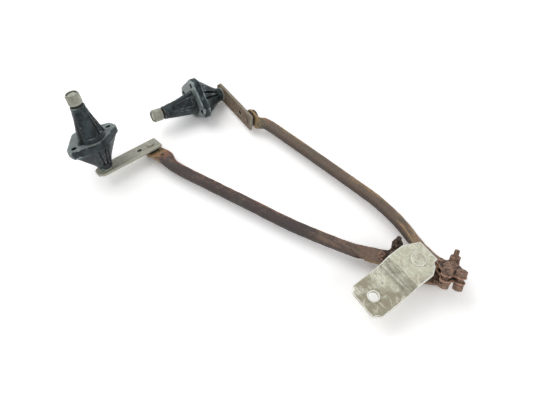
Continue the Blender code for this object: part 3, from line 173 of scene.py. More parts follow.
class Field:
    """A shader value that takes part in Python expressions."""

    def __init__(self, shader, socket):
        self.shader = shader
        self.socket = socket

    def math(self, operation, first, second=None):
        """A Math node of this operation."""
        return self.shader.node("ShaderNodeMath", {"operation": operation}, {0: first, 1: second})

    def __add__(self, other):
        return self.math("ADD", self, other)

    __radd__ = __add__

    def __sub__(self, other):
        return self.math("SUBTRACT", self, other)

    def __rsub__(self, other):
        return self.math("SUBTRACT", other, self)

    def __mul__(self, other):
        return self.math("MULTIPLY", self, other)

    def most(self, other):
        """The larger of two values."""
        return self.math("MAXIMUM", self, other)

    def ramp(self, low, high):
        """0 below low, 1 above high and smooth between, or the reverse where low is above high."""
        return self.shader.node(
            "ShaderNodeMapRange", {"interpolation_type": "SMOOTHSTEP"},
            {"Value": self, "From Min": low, "From Max": high},
        )


class Shader:
    """A material under construction."""

    def __init__(self, name, shade):
        self.base = linear(shade)
        self.material = bpy.data.materials.new(name)
        self.material.use_nodes = True
        self.tree = self.material.node_tree
        self.tree.nodes.clear()
        self.output = self.tree.nodes.new("ShaderNodeOutputMaterial")
        self.place = self.node("ShaderNodeTexCoord", {}, {}, "Object")

    def node(self, kind, settings, sockets, output=0):
        """Add a node: its settings first, then its sockets' values or links."""
        made = self.tree.nodes.new(kind)
        for key, value in settings.items():
            setattr(made, key, value)
        for key, value in sockets.items():
            if value is None:
                continue
            if isinstance(value, Field):
                self.tree.links.new(value.socket, made.inputs[key])
            else:
                made.inputs[key].default_value = value
        return Field(self, made.outputs[output])

    def spot(self, scale=(1.0, 1.0, 1.0), turn=(0.0, 0.0, 0.0)):
        """The place on the object in millimetres, turned and then stretched."""
        turned = self.node("ShaderNodeMapping", {}, {
            "Vector": self.place, "Rotation": tuple(math.radians(angle) for angle in turn),
        })
        return self.node("ShaderNodeVectorMath", {"operation": "MULTIPLY"}, {
            0: turned, 1: tuple(value / MM for value in scale),
        })

    def noise(self, size, detail=4.0, roughness=0.55, spot=None, distortion=0.0):
        """Cloudy noise whose features are about size millimetres."""
        return self.node("ShaderNodeTexNoise", {}, {
            "Vector": spot or self.spot(), "Scale": 1.0 / size, "Detail": detail,
            "Roughness": roughness, "Distortion": distortion,
        })

    def cells(self, size):
        """Distance to the nearest of scattered points about size millimetres apart."""
        return self.node("ShaderNodeTexVoronoi", {}, {"Vector": self.spot(), "Scale": 1.0 / size})

    def attribute(self, name):
        """A value stored on the mesh."""
        return self.node("ShaderNodeAttribute", {"attribute_name": name}, {}, "Fac")

    def mix(self, first, second, mask):
        """A colour that goes from first to second with the mask."""
        return self.node("ShaderNodeMix", {"data_type": "RGBA"}, {0: mask, 6: first, 7: second}, 2)

    def coat(self, shade, mask):
        """Lay a display colour over the base where the mask lets it through."""
        self.base = self.mix(self.base, linear(shade), mask)

    def finish(self, roughness, metallic, height, depth, sheen=0.5):
        """Close the material with a Principled shader and a bump of depth metres."""
        bump = self.node("ShaderNodeBump", {}, {"Strength": 1.0, "Distance": depth, "Height": height})
        shader = self.node("ShaderNodeBsdfPrincipled", {}, {
            "Base Color": self.base, "Roughness": roughness, "Metallic": metallic, "Normal": bump,
            "Specular IOR Level": sheen,
        })
        self.tree.links.new(shader.socket, self.output.inputs["Surface"])
        return self.material


def linear(shade):
    """A display colour as the linear colour that a shader takes."""
    parts = [part / 12.92 if part <= 0.04045 else ((part + 0.055) / 1.055) ** 2.4 for part in shade]
    return (*parts, 1.0)


# Finishes

# Linear colours of what light hardly reaches, and of the bench where the camera sees it

CASTING_HOLLOW_SHADE = (0.005, 0.006, 0.008, 1.0)
PIN_END_SHADOW = (0.022, 0.030, 0.026, 1.0)
LIT_BENCH = (1.38, 1.38, 1.38, 1.0)


def cast_finish(tones):
    """Dark die casting with a slate bloom, painted shade in its hollows, painted sheen on faces that face
    up the shaft, and patchy rubbed edges with a painted glare on the lugs.
    """
    shader = Shader("dark_casting", tones.casting)
    edge, top, lug = map(shader.attribute, ("edge", "top", "lug"))
    cloud = shader.noise(9.0, 5.0)
    patch = shader.noise(8.0, 5.0, 0.6, distortion=0.6)
    small = shader.noise(2.6, 5.0, 0.7, distortion=0.5)
    grain = shader.noise(0.7, 3.0)
    scratch = shader.noise(1.6, 2.0, spot=shader.spot((1.0, 0.12, 1.0), (0.0, 20.0, 35.0)))
    shader.coat(tones.casting_blue, (cloud + small * 0.3).ramp(0.54, 0.80))
    # Painted shade: near black in the hollows.
    hollow = (edge + grain * 0.1).ramp(0.02, -0.40)
    shader.base = shader.mix(shader.base, CASTING_HOLLOW_SHADE, hollow * 0.85)
    # Pale rubbed patches, with a painted sheen on the faces that face up the shaft.
    rubbed_and_top_sheen = (patch * 0.6 + small * 0.3 + top * 0.5 + edge * 0.1).ramp(0.66, 1.02) * 0.82
    shader.coat(tones.pale_casting_and_sheen, rubbed_and_top_sheen)
    # Bare rubbed patches and edges, with a painted glare on the lugs.
    wear_and_lug_glare = (edge * 0.32 + scratch * 0.1 + patch * 1.1 + small * 0.40 + lug * 0.20).ramp(1.04, 1.32)
    shader.coat(tones.bare_casting_and_glare, wear_and_lug_glare * 0.9)
    fleck = scratch.ramp(0.64, 0.74) * cloud.ramp(0.44, 0.60)
    shader.coat(tones.pale_casting_and_sheen, fleck * 0.35)
    roughness = 0.24 + cloud * 0.2 + grain * 0.04
    return shader.finish(roughness, wear_and_lug_glare * 0.4 + 0.05, grain + cloud * 2.5 + small, 0.06 * MM, 0.38)


def zinc_finish(tones):
    """Mottled zinc plate with draw marks and grime, painted shade and glints on the joggle's slope, darker
    hollows and bright edges that are partly rubbed and partly painted highlights.
    """
    shader = Shader("zinc_plate", tones.zinc)
    edge, slope, motor = map(shader.attribute, ("edge", "slope", "motor"))
    cloud = shader.noise(15.0, 5.0, 0.68, distortion=1.2)
    patch = shader.noise(9.0, 5.0, 0.68, shader.spot(turn=(0.0, 0.0, 70.0)), 1.0)
    small = shader.noise(2.6, 5.0, 0.72, distortion=0.8)
    grain = shader.noise(0.9, 3.0)
    across = shader.spot((1.0, 0.05, 1.0), (0.0, 0.0, -37.0))
    streak = shader.noise(1.5, 4.0, 0.7, across)
    shader.coat(tones.zinc_pink, (cloud + small * 0.3).ramp(0.64, 0.78) * 0.7)
    shader.coat(tones.zinc_green, (patch + small * 0.3).ramp(0.63, 0.78) * 0.7)
    brown = (motor * 0.40 + cloud * 0.7 - patch * 0.25 + small * 0.5).ramp(0.50, 0.92)
    shader.coat(tones.zinc_brown, brown * 0.85)
    pale = (patch * 0.8 - cloud * 0.8 + small * 0.5 - motor * 0.04).ramp(0.18, 0.32)
    shader.coat(tones.zinc_pale, pale * 0.85)
    # Painted shade: the joggle's slope darkened, as it turns from the lamps.
    shader.coat(tones.zinc_dirt_and_shade, slope * (cloud * 0.6 + small * 0.4).ramp(0.10, 0.80) * 0.70)
    grime = (patch * 0.6 + small * 0.7 - cloud * 0.3).ramp(0.50, 0.64)
    shader.coat(tones.zinc_dirt_and_shade, grime * 0.55)
    # Dark draw marks, much stronger on the slope, where they paint shade lines along the bends.
    shader.coat(tones.zinc_dirt_and_shade, streak.ramp(0.50, 0.60) * (slope * 0.50 + 0.14))
    # Bright draw marks, stronger on the slope, where they paint glints along the bends.
    shader.coat(tones.zinc_rubbed_and_glint, streak.ramp(0.44, 0.34) * (slope * 0.40 + 0.22))
    speck = (grain * 0.6 + small * 0.5).ramp(0.60, 0.70)
    shader.coat(tones.zinc_dirt_and_shade, speck * 0.4)
    # Darker in the hollows.
    shader.coat(tones.zinc_dirt_and_shade, edge.ramp(-0.06, -0.4) * 0.25)
    # Bright edges: partly rubbed wear, partly painted highlights.
    rubbed = (edge * 0.60 + grain * 0.3 + small * 0.5 + patch * 0.6).ramp(0.92, 1.16)
    shader.coat(tones.zinc_rubbed_and_glint, rubbed * 0.95)
    roughness = 0.36 + speck * 0.2 + streak * 0.16 - rubbed * 0.1
    return shader.finish(roughness, 0.16 + rubbed * 0.2, streak * 1.4 + grain * 0.6, 0.16 * MM)


def tube_finish(tones, name, paint, rust_level, turn, green, start, dry):
    """Old tube: paint under brown, olive and tan stains, with orange rust along its upper, lit edge,
    painted light on the side turned to the lamps, painted shade underneath, a painted shadow at the pin end
    and a painted highlight along the right rod's fold.

    rust_level sets how much orange rust there is, turn the heading of the streaks in degrees,
    green and start the strength and onset of the olive by the crank, and dry the tan stain.
    """
    shader = Shader(name, paint)
    edge, side, end, near, crease = map(shader.attribute, ("edge", "side", "end", "near", "crease"))
    cloud = shader.noise(13.0, 5.0, 0.62, distortion=0.8)
    run = shader.noise(6.0, 5.0, 0.65, shader.spot((0.14, 1.0, 1.0), (0.0, 0.0, turn)))
    small = shader.noise(2.4, 5.0, 0.72, distortion=0.5)
    grain = shader.noise(0.8, 4.0, 0.7)
    brown = (run * 0.6 + cloud * 0.7 + small * 0.4 + near * 0.40 + dry * 0.22 - end * 0.3).ramp(0.86, 1.08)
    shader.coat(tones.rust_brown, brown * 0.85)
    # Pale pink rust, a little more on the lit side, so partly painted light.
    pale = (run * 0.7 + small * 0.7 + cloud * 0.2 + side * 0.12 + near * 0.16).ramp(0.84, 1.04)
    shader.coat(tones.rust_pink, pale * 0.6)
    olive = (cloud * 0.8 - run * 0.5 + small * 0.3).ramp(0.34, 0.48)
    shader.coat(tones.olive, olive * 0.5)
    shader.coat(tones.olive, (near + small * 0.3).ramp(start, start + 0.3) * green)
    # Tan stain, more on the lit side, so partly painted light.
    stain = (side * 0.30 + run * 0.9 + small * 0.6 - cloud * 0.3 + dry * 0.17).ramp(0.80, 0.98)
    shader.coat(tones.tan, stain * dry * 0.75)
    shader.coat(tones.deep_rust_and_shade, (grain * 0.6 + small * 0.6 + run * 0.2).ramp(0.72, 0.84) * 0.7)
    # Painted shade: darker on the side turned from the lamps and underneath.
    shader.coat(tones.deep_rust_and_shade, side.ramp(-0.12, -0.60) * 0.7)
    # Orange rust along the upper, lit side: real rust laid out with painted light.
    ridge = (side * 0.8 + run * 0.6 + small * 0.5 + cloud * 0.5 + end * 0.15 + rust_level).ramp(1.26, 1.58)
    shader.coat(tones.orange_rust_and_light, ridge * 0.85)
    shader.coat(tones.olive, (end + small * 0.4).ramp(0.62, 0.88) * 0.85)
    fresh = (end * 0.5 + cloud * 0.5 + small * 0.7).ramp(0.80, 1.04)
    shader.coat(tones.tan, fresh * end.ramp(0.0, 0.3) * 0.85)
    # Painted light: orange brightened on the lit side, on the shoulder before the pin end, over the rust.
    glow = (side * 0.50 + cloud * 0.6 + small * 0.6).ramp(0.68, 0.92)
    shoulder = end.ramp(0.1, 0.4) * end.ramp(0.95, 0.62)
    shader.coat(tones.orange_rust_and_light, glow * shoulder * 0.60)
    # Painted shadow: greenish black at the pin end, where the lever shades the rod.
    dark = end.ramp(0.84, 0.99) * (small + cloud * 0.3).ramp(0.80, 0.60)
    shader.base = shader.mix(shader.base, PIN_END_SHADOW, dark * 0.85)
    # Painted highlight: a tan line along the right rod's fold.
    shader.coat(tones.tan, (crease + grain * 0.3).ramp(0.65, 1.0) * 0.85)
    rubbed = (edge + grain * 0.4).ramp(0.62, 1.0)
    shader.coat(tones.tan, rubbed * 0.6)
    height = grain * 1.2 + run + ridge + small
    return shader.finish(0.54 + ridge * 0.25, 0.08 + rubbed * 0.2, height, 0.42 * MM)


def rust_finish(tones, name, level):
    """Thick dry rust: brown and pink scale with dark pits, paler with the level."""
    shader = Shader(name, tones.rust_brown)
    edge = shader.attribute("edge")
    cloud = shader.noise(6.0, 5.0, 0.65, distortion=0.7)
    scale = shader.noise(2.2, 5.0, 0.7, distortion=0.4)
    grain = shader.noise(0.5, 4.0, 0.7)
    pits = shader.cells(1.4)
    pale = (cloud * 0.9 + scale * 0.4 + edge * 0.4 + level).ramp(0.54, 0.80)
    shader.coat(tones.rust_pink, pale)
    dark = (scale * 0.7 + cloud * 0.6 + grain * 0.2 + level).ramp(0.80, 0.60)
    shader.coat(tones.deep_rust_and_shade, dark * 0.85)
    shader.coat(tones.deep_rust_and_shade, edge.ramp(-0.04, -0.34) * 0.92)
    shader.coat(tones.orange_rust_and_light, (scale + edge * 0.3 + level).ramp(0.60, 0.75) * 0.4)
    bloom = (edge * 0.9 + grain * 0.4 + scale * 0.4 + level).ramp(0.66, 1.05)
    shader.coat(tones.rust_bloom, bloom * 0.8)
    height = scale * 1.4 + grain * 0.6 + pits.ramp(0.0, 0.5) * 0.5
    return shader.finish(0.82 - scale * 0.1, 0.05, height, 0.6 * MM)


def lever_finish(tones, name, rust_level, turn):
    """Grey lever strip with rolling marks, spots and as much rust as rust_level, with painted shade in its
    hollows and in the gap round the pin head.
    """
    shader = Shader(name, tones.lever_grey)
    edge, end, heel, ring = map(shader.attribute, ("edge", "end", "heel", "ring"))
    cloud = shader.noise(8.0, 5.0, 0.62, distortion=0.5)
    streak = shader.noise(1.6, 4.0, 0.6, shader.spot((0.10, 1.0, 1.0), (0.0, 0.0, turn)))
    small = shader.noise(1.9, 5.0, 0.7)
    grain = shader.noise(0.7, 4.0, 0.65)
    shader.coat(tones.zinc_dirt_and_shade, (streak + cloud * 0.4).ramp(0.60, 0.86) * 0.6)
    shader.coat(tones.zinc, (cloud + streak * 0.3).ramp(0.60, 0.80) * 0.3)
    clean_end = end * (0.32 - rust_level * 0.6)
    rust = (cloud * 0.6 + small * 0.5 + rust_level + heel * 0.35 - clean_end).ramp(0.66, 1.00)
    shader.coat(tones.lever_brown, rust * 0.9)
    spots = (small * 0.7 + grain * 0.5 + rust_level * 0.25).ramp(0.66, 0.80)
    shader.coat(tones.deep_rust_and_shade, spots * 0.6)
    # Painted shade in the hollows and the pin hole.
    shader.coat(tones.deep_rust_and_shade, edge.ramp(-0.08, -0.42) * 0.8)
    # Painted shade in the gap round the pin head.
    shader.coat(tones.deep_rust_and_shade, (ring + small * 0.4).ramp(0.55, 1.0) * 0.8)
    rubbed = (edge + grain * 0.3).ramp(0.4, 0.85)
    shader.coat(tones.lever_rubbed, rubbed * (0.7 - rust * 0.4))
    height = streak * 0.5 + grain + rust * 1.5
    return shader.finish(0.50 + rust * 0.35, 0.22 - rust * 0.2, height, 0.16 * MM)


def steel_finish(tones):
    """Dull steel of the shafts, drivers and washers, with grime, rubbed knurl crests and painted shade in
    the knurl's grooves.
    """
    shader = Shader("bright_steel", tones.steel)
    edge = shader.attribute("edge")
    cloud = shader.noise(4.0, 4.0, 0.6)
    grain = shader.noise(0.6, 4.0, 0.65)
    shader.coat(tones.zinc_dirt_and_shade, (cloud + grain * 0.3).ramp(0.58, 0.80) * 0.5)
    shader.coat(tones.rust_brown, (grain + cloud * 0.2).ramp(0.74, 0.86) * 0.3)
    # Painted shade in the knurl's grooves.
    shader.coat(tones.zinc_dirt_and_shade, edge.ramp(0.0, -0.8) * 0.9)
    shader.coat(tones.steel_rubbed, edge.ramp(0.2, 0.7) * 0.6)
    return shader.finish(0.40 + cloud * 0.2, 0.30, grain + cloud, 0.08 * MM)


def soft_finish(tones, name, shade, roughness, metallic):
    """Plain moulded or turned stock with a fine grain and a little dirt."""
    shader = Shader(name, shade)
    cloud = shader.noise(3.0, 4.0, 0.6)
    grain = shader.noise(0.4, 3.0, 0.6)
    shader.coat(tones.zinc_dirt_and_shade, (cloud + grain * 0.2).ramp(0.56, 0.84) * 0.35)
    return shader.finish(roughness + grain * 0.1, metallic, grain + cloud, 0.06 * MM)


def build_finishes(tones):
    """Make every finish once."""
    if "dark_casting" in FINISHES:
        return
    FINISHES["dark_casting"] = cast_finish(tones)
    FINISHES["zinc_plate"] = zinc_finish(tones)
    FINISHES["left_tube"] = tube_finish(
        tones, "left_tube", tones.tube_dark, rust_level=0.08, turn=30.0, green=0.75, start=0.86, dry=0.0,
    )
    FINISHES["right_tube"] = tube_finish(
        tones, "right_tube", tones.tube_green, rust_level=0.06, turn=42.0, green=0.5, start=0.60, dry=1.0,
    )
    for name, level in RUST_LEVELS.items():
        FINISHES[name] = rust_finish(tones, name, level)
    FINISHES["left_lever"] = lever_finish(tones, "left_lever", rust_level=0.02, turn=-37.8)
    FINISHES["right_lever"] = lever_finish(tones, "right_lever", rust_level=0.42, turn=56.0)
    FINISHES["bright_steel"] = steel_finish(tones)
    for name, shade, roughness, metallic in (
        ("black_rubber", tones.rubber, 0.62, 0.0),
        ("bronze", tones.bronze, 0.4, 0.7),
        ("nylon", tones.nylon, 0.5, 0.0),
    ):
        FINISHES[name] = soft_finish(tones, name, shade, roughness, metallic)


FINISHES = {}

# How pale each rust is, and which one each side's plates and bolts have

RUST_LEVELS = {"rusty_steel": -0.01, "dark_rust": -0.09, "pale_rust": 0.05}
RUSTS = {"left": "dark_rust", "right": "rusty_steel"}
BOLT_RUSTS = {"left": "dark_rust", "right": "pale_rust"}


# Mesh tools

def link(name, data):
    """An object at the origin that holds a mesh."""
    piece = bpy.data.objects.new(name, data)
    bpy.context.collection.objects.link(piece)
    return piece


def mesh_data(mesh, name):
    """Close a mesh under construction as a mesh of this name."""
    data = bpy.data.meshes.new(name)
    mesh.to_mesh(data)
    mesh.free()
    return data


def merged_copy(node):
    """A CAD node's mesh with its loose triangles joined."""
    mesh = bmesh.new()
    mesh.from_mesh(frame["nodes"][node].data)
    bmesh.ops.remove_doubles(mesh, verts=mesh.verts, dist=MERGE)
    return mesh_data(mesh, node + "_skin")


def baked(piece):
    """Turn a piece with modifiers into a plain mesh, in place."""
    bpy.context.view_layer.update()
    graph = bpy.context.evaluated_depsgraph_get()
    data = bpy.data.meshes.new_from_object(piece.evaluated_get(graph))
    old = piece.data
    piece.modifiers.clear()
    piece.data = data
    bpy.data.meshes.remove(old)
    return piece


def vertex_places(data):
    """A mesh's vertices as an array."""
    flat = np.empty(len(data.vertices) * 3)
    data.vertices.foreach_get("co", flat)
    return flat.reshape(-1, 3)


def vertex_normals(data):
    """A mesh's vertex normals as an array."""
    flat = np.empty(len(data.vertices) * 3)
    data.vertex_normals.foreach_get("vector", flat)
    return flat.reshape(-1, 3)


def edge_pairs(data):
    """A mesh's edges as an array of vertex pairs."""
    flat = np.empty(len(data.edges) * 2, dtype=np.int64)
    data.edges.foreach_get("vertices", flat)
    return flat.reshape(-1, 2)


def faded(values):
    """Values held between 0 and 1."""
    return np.clip(values, 0.0, 1.0)


def relaxed(places, pairs, passes, strength):
    """Vertex places drawn towards their neighbours, over some passes."""
    count = np.bincount(pairs.ravel(), minlength=len(places)).astype(float)[:, None]
    for _ in range(passes):
        total = np.zeros_like(places)
        np.add.at(total, pairs[:, 0], places[pairs[:, 1]])
        np.add.at(total, pairs[:, 1], places[pairs[:, 0]])
        places = places + (total / count - places) * strength
    return places


def store(data, name, values):
    """Keep a value for each vertex as an attribute."""
    layer = data.attributes.get(name) or data.attributes.new(name, "FLOAT", "POINT")
    layer.data.foreach_set("value", np.ascontiguousarray(values, dtype=np.float32))


def set_places(data, places):
    """Write vertex places back."""
    data.vertices.foreach_set("co", np.ascontiguousarray(places, dtype=np.float32).ravel())
    data.update()


def lumps(places, size, octaves=3):
    """Fractal noise of about -1 to 1 at each place, with features of size metres."""
    return np.array([
        noise.fractal(Vector(place) / size, 0.8, 2.0, octaves) for place in places
    ])


def mark_edges(data, reach):
    """Store how sharply the surface turns: above 0 on edges, below 0 in hollows."""
    places = vertex_places(data)
    pairs = edge_pairs(data)
    smooth = relaxed(places, pairs, 6, 0.6)
    rise = ((places - smooth) * vertex_normals(data)).sum(axis=1)
    rise = relaxed(rise[:, None], pairs, 1, 0.5)[:, 0]
    store(data, "edge", np.clip(rise / reach, -1.0, 1.0))


def worn_skin(node, voxel, passes, swell, size, reach):
    """A fine even mesh over a CAD node, eased at its edges and roughened by swell metres."""
    piece = link(node + "_skin", merged_copy(node))
    remesh = piece.modifiers.new("skin", "REMESH")
    remesh.mode = "VOXEL"
    remesh.voxel_size = voxel
    baked(piece)
    data = piece.data
    places = vertex_places(data)
    pairs = edge_pairs(data)
    places = relaxed(places, pairs, passes, 0.5)
    places = relaxed(places, pairs, passes, -0.28)
    set_places(data, places)
    if swell:
        out = vertex_normals(data)
        places = places + out * (lumps(places, size) * swell)[:, None]
        set_places(data, places)
    mark_edges(data, reach)
    data.shade_smooth()
    return piece


def dress(piece, finish_name, body, slot, *nodes):
    """Give a piece its finish and its body, and hide the CAD nodes that it stands for; slot is not used."""
    piece.data.materials.clear()
    piece.data.materials.append(FINISHES[finish_name])
    for face in piece.data.polygons:
        face.material_index = 0
    if nodes:
        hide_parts(*nodes)
    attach(piece, body)
    return piece


def turned(profile, segments):
    """A closed mesh from an outline of (radius, height) points turned about Z."""
    mesh = bmesh.new()
    ring = [mesh.verts.new((radius, 0.0, height)) for radius, height in profile]
    edges = [mesh.edges.new((ring[k], ring[(k + 1) % len(ring)])) for k in range(len(ring))]
    bmesh.ops.spin(
        mesh, geom=ring + edges, cent=(0.0, 0.0, 0.0), axis=(0.0, 0.0, 1.0),
        angle=math.tau, steps=segments, use_merge=True,
    )
    bmesh.ops.remove_doubles(mesh, verts=mesh.verts, dist=MERGE)
    bmesh.ops.dissolve_degenerate(mesh, edges=mesh.edges, dist=MERGE)
    bmesh.ops.recalc_face_normals(mesh, faces=mesh.faces)
    return mesh_data(mesh, "turned")


def axes(x_axis, z_axis, origin):
    """A right-handed frame with its z along z_axis and its x as near x_axis as it can be."""
    z = z_axis.normalized()
    x = (x_axis - x_axis.dot(z) * z).normalized()
    placed = Matrix((x, z.cross(x), z)).transposed().to_4x4()
    placed.translation = origin
    return placed


def pivot_frame(side):
    """The frame of a side's shaft: z up the shaft, x along the lever towards its pin."""
    shaft = JOINTS[side + "_shaft_turn"]
    pin = Vector(JOINTS[side + "_lever_turn"]["pos_m"])
    origin = Vector(shaft["pos_m"])
    return axes(pin - origin, Vector(shaft["axis"]), origin)


def socket_frame(side):
    """The frame of a side's ball socket: z out of its top plate, x along the rod."""
    facts = SOCKETS[side]
    turn = math.radians(facts["heading"])
    return axes(Vector((math.cos(turn), math.sin(turn), 0.0)), facts["normal"], facts["ball"])


# Geometry Nodes

# A knurl ridge's width as a share of its depth, and a thread's height as a share of its pitch

RIDGE_WIDTH = 1.7
THREAD_HEIGHT = 0.36


class Tree:
    """A Geometry Nodes tree under construction."""

    def __init__(self, name, inputs):
        self.group = bpy.data.node_groups.new(name, "GeometryNodeTree")
        self.group.interface.new_socket("Geometry", in_out="INPUT", socket_type="NodeSocketGeometry")
        self.keys = {}
        for label, kind, value in inputs:
            socket = self.group.interface.new_socket(label, in_out="INPUT", socket_type=kind)
            socket.default_value = value
            self.keys[label] = socket.identifier
        self.group.interface.new_socket("Geometry", in_out="OUTPUT", socket_type="NodeSocketGeometry")
        self.start = self.group.nodes.new("NodeGroupInput")
        self.end = self.group.nodes.new("NodeGroupOutput")

    def given(self, label):
        """The socket of one of the tree's inputs."""
        return self.start.outputs[label]

    def add(self, kind, settings, sockets, output=0):
        """Add a node: its settings first, then its sockets' values or links."""
        made = self.group.nodes.new(kind)
        for key, value in settings.items():
            setattr(made, key, value)
        for key, value in sockets.items():
            for item in value if isinstance(value, list) else [value]:
                if isinstance(item, bpy.types.NodeSocket):
                    self.group.links.new(item, made.inputs[key])
                else:
                    made.inputs[key].default_value = item
        return made.outputs[output]

    def sum(self, operation, first, second):
        """A Math node of this operation."""
        return self.add("ShaderNodeMath", {"operation": operation}, {0: first, 1: second})

    def vector(self, x, y, z):
        """A vector of three values."""
        return self.add("ShaderNodeCombineXYZ", {}, {"X": x, "Y": y, "Z": z})

    def middle(self, low, high):
        """A vector up Z to the middle of two given heights."""
        total = self.sum("ADD", self.given(high), self.given(low))
        return self.vector(0.0, 0.0, self.sum("MULTIPLY", total, 0.5))

    def moved(self, geometry, name, value):
        """Geometry with one input of a Transform node set."""
        return self.add("GeometryNodeTransform", {}, {"Geometry": geometry, name: value})

    def close(self, geometry, material):
        """End the tree with real geometry in its finish."""
        real = self.add("GeometryNodeRealizeInstances", {}, {0: geometry})
        done = self.add("GeometryNodeSetMaterial", {}, {"Geometry": real, "Material": material})
        self.group.links.new(done, self.end.inputs[0])

    def run(self, piece, values):
        """Run the tree on a piece with these input values, and bake it."""
        modifier = piece.modifiers.new(self.group.name, "NODES")
        modifier.node_group = self.group
        for label, value in values.items():
            modifier[self.keys[label]] = value
        return baked(piece)


def knurl_tree():
    """Ridges round a turned driver."""
    tree = Tree("knurl", (
        ("Ridges", "NodeSocketInt", 44),
        ("Radius", "NodeSocketFloat", 6.5 * MM),
        ("Depth", "NodeSocketFloat", 0.38 * MM),
        ("Low", "NodeSocketFloat", 0.0),
        ("High", "NodeSocketFloat", 10.0 * MM),
    ))
    length = tree.sum("SUBTRACT", tree.given("High"), tree.given("Low"))
    side = tree.sum("MULTIPLY", tree.given("Depth"), RIDGE_WIDTH)
    size = tree.vector(side, side, length)
    ridge = tree.add("GeometryNodeMeshCube", {}, {"Size": size})
    corner = tree.moved(ridge, "Rotation", (0.0, 0.0, math.radians(45.0)))
    circle = tree.add("GeometryNodeMeshCircle", {}, {
        "Vertices": tree.given("Ridges"), "Radius": tree.given("Radius"),
    })
    raised = tree.moved(circle, "Translation", tree.middle("Low", "High"))
    index = tree.add("GeometryNodeInputIndex", {}, {})
    step = tree.sum("DIVIDE", math.tau, tree.given("Ridges"))
    angle = tree.sum("MULTIPLY", index, step)
    ridges = tree.add("GeometryNodeInstanceOnPoints", {}, {
        "Points": raised, "Instance": corner, "Rotation": tree.vector(0.0, 0.0, angle),
    })
    both = tree.add("GeometryNodeJoinGeometry", {}, {0: [tree.given("Geometry"), ridges]})
    tree.close(both, FINISHES["bright_steel"])
    return tree


def bolt_tree():
    """A bolt, its thread and its nut at each point of the piece."""
    tree = Tree("socket_bolts", (
        ("Head", "NodeSocketObject", None),
        ("Nut", "NodeSocketObject", None),
        ("Radius", "NodeSocketFloat", 2.5 * MM),
        ("Pitch", "NodeSocketFloat", 0.9 * MM),
        ("Foot", "NodeSocketFloat", -5.0 * MM),
        ("Tip", "NodeSocketFloat", 14.0 * MM),
    ))
    length = tree.sum("SUBTRACT", tree.given("Tip"), tree.given("Foot"))
    shank = tree.add("GeometryNodeMeshCylinder", {}, {
        "Vertices": 20, "Side Segments": 1, "Radius": tree.given("Radius"), "Depth": length,
    })
    shank = tree.moved(shank, "Translation", tree.middle("Foot", "Tip"))
    run = tree.sum("SUBTRACT", length, tree.given("Pitch"))
    turns = tree.sum("DIVIDE", run, tree.given("Pitch"))
    spiral = tree.add("GeometryNodeCurveSpiral", {}, {
        "Resolution": 14, "Rotations": turns, "Start Radius": tree.given("Radius"),
        "End Radius": tree.given("Radius"), "Height": run,
    })
    rise = tree.sum("ADD", tree.given("Foot"), tree.sum("MULTIPLY", tree.given("Pitch"), 0.5))
    spiral = tree.moved(spiral, "Translation", tree.vector(0.0, 0.0, rise))
    crest = tree.add("GeometryNodeCurvePrimitiveCircle", {}, {
        "Resolution": 4, "Radius": tree.sum("MULTIPLY", tree.given("Pitch"), THREAD_HEIGHT),
    })
    thread = tree.add("GeometryNodeCurveToMesh", {}, {
        "Curve": spiral, "Profile Curve": crest, "Fill Caps": True,
    })
    head = tree.add("GeometryNodeObjectInfo", {}, {"Object": tree.given("Head")}, "Geometry")
    nut = tree.add("GeometryNodeObjectInfo", {}, {"Object": tree.given("Nut")}, "Geometry")
    bolt = tree.add("GeometryNodeJoinGeometry", {}, {0: [shank, thread, head, nut]})
    bolts = tree.add("GeometryNodeInstanceOnPoints", {}, {
        "Points": tree.given("Geometry"), "Instance": bolt,
    })
    tree.close(bolts, FINISHES["rusty_steel"])
    return tree


# Small shapes

def hexagon_block(flats, bottom, top, bore):
    """A chamfered hexagon with a rounded crown, and a bore where it has one."""
    corner = flats / math.sqrt(3.0)
    chamfer = corner - flats / 2.0
    mesh = bmesh.new()
    sides = 48
    directions = [(math.cos(math.tau * k / sides), math.sin(math.tau * k / sides)) for k in range(sides)]
    slope = chamfer * 0.6
    levels = (
        (bottom, 0.93, False), (bottom + slope, 1.0, True), (top - slope, 1.0, True), (top, 0.90, False),
    )
    rings = []
    for height, share, full in levels:
        ring = []
        for k, (cosine, sine) in enumerate(directions):
            away = (math.tau * k / sides % math.radians(60.0)) - math.radians(30.0)
            reach = min(flats / 2.0 / math.cos(away), corner * 0.985)
            rounded = min(reach, flats / 2.0 * share * 1.04)
            radius = reach if full else rounded
            ring.append(mesh.verts.new((radius * cosine, radius * sine, height)))
        rings.append(ring)
    if bore:
        for height in (top, bottom):
            rings.append([
                mesh.verts.new((bore * cosine, bore * sine, height)) for cosine, sine in directions
            ])
        rings.append(rings[0])
    for low, high in zip(rings, rings[1:]):
        for k in range(sides):
            after = (k + 1) % sides
            mesh.faces.new((low[k], low[after], high[after], high[k]))
    if not bore:
        mesh.faces.new(list(reversed(rings[0])))
        mesh.faces.new(rings[-1])
    bmesh.ops.recalc_face_normals(mesh, faces=mesh.faces)
    return mesh_data(mesh, "hexagon")


# Operators

# The finish of each CAD piece that stays its own, on both sides

PLAIN_PIECES = {
    "ball_stud": "bright_steel",
    "rod_rubber": "black_rubber",
    "ball_seat": "nylon",
    "pin_washer": "black_rubber",
    "pivot_shaft": "bright_steel",
    "thrust_washer": "bright_steel",
    "lower_bush": "bronze",
    "upper_bush": "bronze",
    "shaft_seal": "black_rubber",
}

# Where wear, painted light and painted shade sit on the pieces, and the sizes of the bolts

HUB_RADIUS = 18.0 * MM
PIN_HEAD_RADIUS = 4.7 * MM
